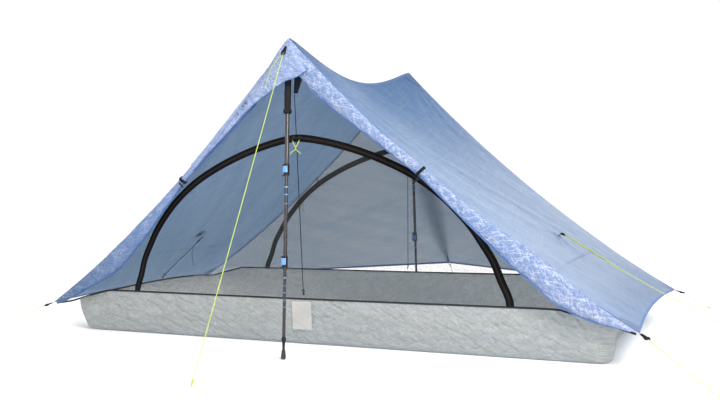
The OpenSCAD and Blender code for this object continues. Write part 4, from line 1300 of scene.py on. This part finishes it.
def lineloc(tie):
    """Buckle on a guyline: a frame with a bar and a toothed cheek, and the webbing loop that holds it."""
    Y = unit(tie[2] - tie[1])
    X = unit(np.cross(Y, [0, 0, 1.0]))
    Z = np.cross(X, Y)
    o = tie[1] - Y * 0.011
    parts = [set_in(loop_frame(0.0155, 0.018, 0.0042, 0.9), o, X, Y, Z)]
    for dy, d in ((0.0026, 0.0030), (-0.0030, 0.0022)):
        bar = sweep(np.array([[-0.0065, dy, 0.0004], [0, dy, 0.0006], [0.0065, dy, 0.0004]]), ring(d / 2, 8))
        parts.append(set_in(bar, o, X, Y, Z))
    for sx in (-1, 1):
        parts.append(set_in(rounded_block(0.0026, 0.015, 0.0078, 0.45), o + X * sx * 0.0072, X, Y, Z))
    buckle = join(parts)
    a, b = o - Y * 0.0062, tie[0]
    side = X
    lift = unit(np.cross(side, b - a))
    k = np.linspace(0, 1, 14)[:, None]
    top = lerp(a, b, k) + lift * 0.0022 * np.cos(k * math.pi / 2)
    bot = lerp(a, b, k) - lift * 0.0022 * np.cos(k * math.pi / 2)
    turn = np.linspace(0, math.pi, 7)[1:-1, None]
    wrap = a + Y * 0.0030 * np.sin(turn) + lift * 0.0024 * np.cos(turn)
    path = np.concatenate([top[::-1], wrap, bot])
    strap = np.array([[-0.0050, -0.0005], [0.0050, -0.0005], [0.0053, 0], [0.0050, 0.0005],
                      [-0.0050, 0.0005], [-0.0053, 0]])
    up = unit(np.cross(unit(np.gradient(path, axis=0)), side))
    w = path[:, None] + side * strap[None, :, :1] + up[:, None] * strap[None, :, 1:]
    run = run_along(path)
    uv = np.stack(np.broadcast_arrays(run[:, None], strap[None, :, 0]), -1)
    faces = [q[::-1] for q in grid_faces(len(path), len(strap), wrap=True)]
    faces += [tuple(range(len(strap))),
              tuple(range(len(path) * len(strap) - 1, (len(path) - 1) * len(strap) - 1, -1))]
    return buckle, (w.reshape(-1, 3), faces, uv.reshape(-1, 2))


buckles, straps = zip(*(lineloc(tie) for tie, _ in TIES.values()))
assembled("lineloc_buckles", buckles, plastic_mat, "black_plastic", "linelocs")
assembled("tie_out_webbing", straps, web_mat, "webbing", "tie_out_tabs")

peak_tail = curve_points([[-0.004, -0.6935, 1.117], [-0.024, -0.695, 1.098], [-0.049, -0.693, 1.069],
                          [-0.067, -0.690, 1.035],
                          [-0.082, -0.688, 0.998]], 40)
for key, path in (("front_peak", peak_tail),
                  ("front_left", curve_points([fl_tie[1] + [-0.002, 0, 0.004], [-1.295, -0.652, 0.116],
                                               [-1.322, -0.664, 0.112], [-1.345, -0.672, 0.108]], 20))):
    cord_piece("tail_" + key, path, TAIL_D, lime_mat, "lime_cord")

side_tail = curve_points([[-0.900, -0.004, 0.345], [-0.910, -0.006, 0.318], [-0.911, -0.007, 0.285],
                          [-0.905, -0.006, 0.245]], 24)
for label, sign in SIDES:
    cord_piece("side_hang_tail_" + label, side_of(mirror_x(side_tail), sign), HANG_TAIL_D, cord_black,
               "black_cord")
    main = line_route(side_tie[1], side_tie[2], 0.020, 60)
    k = 15
    twin = main[:k].copy()
    twin[:, 1] += -0.0034 * np.sin(np.linspace(0.25, math.pi * 0.94, k)) - 0.0004
    twin[:, 2] += 0.0040 * np.sin(np.linspace(0.25, math.pi * 0.94, k)) + 0.0016
    knot = loop_knot("side_knot_" + label, side_of(main[k] + [0, 0, 0.001], sign),
                     side_of(main[k + 2] - main[k], sign), GUY_D, lime_mat)
    cord_piece("side_twin_" + label, side_of(resample(twin, 30), sign), GUY_D, lime_mat, "lime_cord")


# ---------------------------------------------------------------- buckles at the top of the side elastics
parts = []
run = unit(end_route[8] - end_route[0])
for sign in (1, -1):
    X, Y, Z = side_of(run, sign), np.array([0, 1.0, 0]), side_of(unit(np.cross(run, [0, 1.0, 0])), sign)
    at = side_of(end_route[0] + run * 0.032, sign)
    parts.append(set_in(rounded_block(0.026, 0.011, 0.0052, 0.5), at, X, Y, Z))
    parts.append(set_in(loop_frame(0.034, 0.007, 0.0026), side_of(end_route[0] + run * 0.010, sign), X, Y, Z))
    parts.append(set_in(rounded_block(0.018, 0.009, 0.0048, 0.5),
                        side_of(end_route[-1] - run * 0.010, sign), X, Y, Z))
assembled("side_elastic_buckles", parts, plastic_mat, "black_plastic")


# ---------------------------------------------------------------- toggles on the doors
def toggles():
    """Toggles and elastic loops that tie the furled doors back, and their twins at the rear edges."""
    bars, loops = [], []
    for sign in (1, -1):
        s0 = 0.42
        w, c = furl(np.array([s0]), sign)
        w, c = float(w[0]), c[0]
        a = np.linspace(0, 2 * math.pi, 41)
        lean = unit(canopy(s0 + 0.05, -1.0) - canopy(s0 - 0.05, -1.0))
        for sh in (-0.0030, 0.0030):
            p = c + UP * ((w + 0.0015) * np.cos(a))[:, None] + lean * (sh + 0.002 * np.sin(a * 2))[:, None]
            p[:, 1] -= 0.0150 * np.sin(a)
            loops.append(sweep(side_of(p, sign), ring(0.0030, 8)))
        base = canopy(s0, -1.0) + [-0.012, -0.022, -0.032]
        rb = canopy(s0, 0.96) + [-0.012, 0.0, -0.026]
        for at in (base, rb):
            bars.append(set_in(rounded_block(0.0062, 0.0062, 0.030, 0.6), side_of(at, sign),
                               side_of(np.array([0.707, 0, -0.707]), sign), np.array([0, 1.0, 0]),
                               side_of(np.array([0.707, 0, 0.707]), sign)))
        top = canopy(s0, 0.97) - UP * 0.002
        for dy in (-0.004, 0.004):
            p = curve_points([top + [0.006, dy, 0], top + [0.002, dy * 1.6, -0.012],
                              rb + [0, dy * 0.5, 0.002]], 14)
            loops.append(sweep(side_of(p, sign), ring(0.0012, 6)))
        p = curve_points([rb, rb + [-0.014, 0.004, -0.012], rb + [-0.026, 0.010, -0.010],
                          rb + [-0.030, 0.004, -0.020], rb + [-0.012, 0.0, -0.020],
                          rb + [0.002, -0.002, -0.004]], 30)
        loops.append(sweep(side_of(p, sign), ring(0.0012, 6)))
    assembled("toggle_bars", bars, plastic_mat, "black_plastic", "door_toggles")
    assembled("toggle_elastic", loops, cord_black, "black_cord")


toggles()


# ---------------------------------------------------------------- hooks of the elastics and rear doors
def hook(o, X, Y, Z, tall=0.019):
    """A moulded hook: a slotted head and a J below it."""
    head = set_in(loop_frame(0.010, 0.009, 0.0024), o + Z * (tall * 0.30), X, Z, -Y)
    r = 0.0042
    a = np.linspace(math.radians(180), math.radians(395), 16)
    j = stack(0 * a, r + r * np.cos(a), -tall * 0.28 + r * np.sin(a))
    stem = np.array([[0, 0, tall * 0.14], [0, 0, 0.0], [0, 0, -tall * 0.2]])
    body_ = sweep(np.concatenate([stem, j]), ring(0.0015, 8, 1.4))
    return [head, set_in(body_, o, X, Y, Z)]


parts = []
for sy in (-1, 1):
    parts += hook(np.array([0, sy * 0.566, 0.208]), np.array([1.0, 0, 0]), np.array([0, -sy * 1.0, 0]),
                  np.array([0, 0, 1.0]), 0.021)
for sx in (-1, 1):
    parts += hook(np.array([sx * 1.092, 0, 0.187]), np.array([0, 1.0, 0]), np.array([sx * 1.0, 0, 0]),
                  np.array([0, 0, 1.0]))
parts += hook(np.array([0, 1.222, 0.160]), np.array([1.0, 0, 0]), unit(np.array([0, -0.5, -0.86])),
              unit(np.array([0, -0.86, 0.5])), 0.022)
assembled("hooks", parts, plastic_mat, "black_plastic", "cord_hooks")


# ---------------------------------------------------------------- peak gussets
def gusset(sy):
    """A thin pad beside the grip, in the tent's middle plane."""
    top = PEAK_Z - 0.010
    pts = np.array([[-0.599, 1.040], [-0.607, 0.979], [-0.578, 0.982], [-0.500, 1.100],
                    [-0.505, top - 0.035], [-0.596, top - 0.012]])
    c = pts.mean(0)
    rows = []
    for k in np.linspace(0.0, 1.0, 7):
        r = c + (pts - c) * max(k, 0.02)
        e = np.concatenate([np.linspace(r[i], r[(i + 1) % 6], 7)[:-1] for i in range(6)])
        rows.append(e)
    flat = np.array(rows)
    bulge = 0.0020 * (1 - np.linspace(0, 1, 7) ** 2)[:, None] + 0.0011
    sheets = [stack(sx * np.broadcast_to(bulge, flat.shape[:2]), flat[..., 0] * -sy, flat[..., 1])
              for sx in (-1, 1)]
    pad = np.concatenate([sheets[0], sheets[1][::-1]])
    f = grid_faces(pad.shape[0], pad.shape[1], wrap=True)
    uv = pad[..., 1:].reshape(-1, 2)
    return pad.reshape(-1, 3), f, uv


gusset_cloth = woven("gusset_cloth", (0.006, 0.006, 0.008), (0.020, 0.021, 0.025), 0.0011)
assembled("peak_gusset_cloth", [gusset(-1), gusset(1)], gusset_cloth, "webbing", "peak_gussets")

# ---------------------------------------------------------------- pole parts keep their CAD shape
AXIS = unit(TOP - FOOT)
MIDDLE_BANDS = [(0.628, 0.633), (0.600, 0.604), (0.566, 0.568)]     # along the pole, up from its foot
LOWER_BANDS = [(0.290, 0.294), (0.262, 0.264), (0.236, 0.239), (0.210, 0.212), (0.184, 0.186)]


def pole_skin(name, bands, rear):
    """Carbon with painted blue bands at heights along the pole."""
    k = Nodes(name)
    o = k.obj()
    ax = AXIS * ([-1, -1, 1] if rear else [1, 1, 1])
    ft = FOOT * ([-1, -1, 1] if rear else [1, 1, 1])
    d = k.node("ShaderNodeVectorMath", {"operation": "DOT_PRODUCT"}, _0=o, _1=tuple(ax)).outputs["Value"]
    d = k.math("SUBTRACT", d, float(ft @ ax))
    mask = 0.0
    for lo, hi in bands:
        m = k.mul(k.math("GREATER_THAN", d, lo), k.math("LESS_THAN", d, hi))
        mask = m if isinstance(mask, float) else k.math("MAXIMUM", mask, m)
    weave = k.node("ShaderNodeTexWave", {"wave_type": "BANDS", "bands_direction": "DIAGONAL"}, Vector=o,
                   Scale=420.0,
                   Distortion=2.0, Detail=2.0).outputs["Fac"]
    blot = k.noise(o, 25.0, 3.0)
    c = k.mix(weave, (0.012, 0.010, 0.011), (0.036, 0.030, 0.031))
    c = k.mix(k.mul(k.ramp(k.noise(o, 140.0, 4.0), (0.55, 0.0), (0.75, 1.0)), 0.3), c, (0.12, 0.11, 0.11))
    if bands:
        c = k.mix(mask, c, (0.10, 0.26, 0.62))
    return k.done(k.principled(Base_Color=c, Roughness=k.ramp(blot, (0.3, 0.22), (0.7, 0.34)),
                               Coat_Weight=0.2,
                               Coat_Roughness=0.12, Specular_IOR_Level=0.4))


for end, rear in ENDS:
    paint(end + "_upper_tube", pole_skin(end + "_upper_skin", [], rear))
    paint(end + "_middle_tube", pole_skin(end + "_middle_skin", MIDDLE_BANDS, rear))
    paint(end + "_lower_tube", pole_skin(end + "_lower_skin", LOWER_BANDS, rear))
    paint(end + "_grip", foam_mat)
    paint(end + "_upper_lever", lever_mat)
    paint(end + "_lower_lever", lever_mat)
    paint(end + "_lower_collar", plastic_mat)
    paint(end + "_ferrule", plastic_mat)
    paint(end + "_foot", rubber_mat)
paint("upper_collars", plastic_mat)
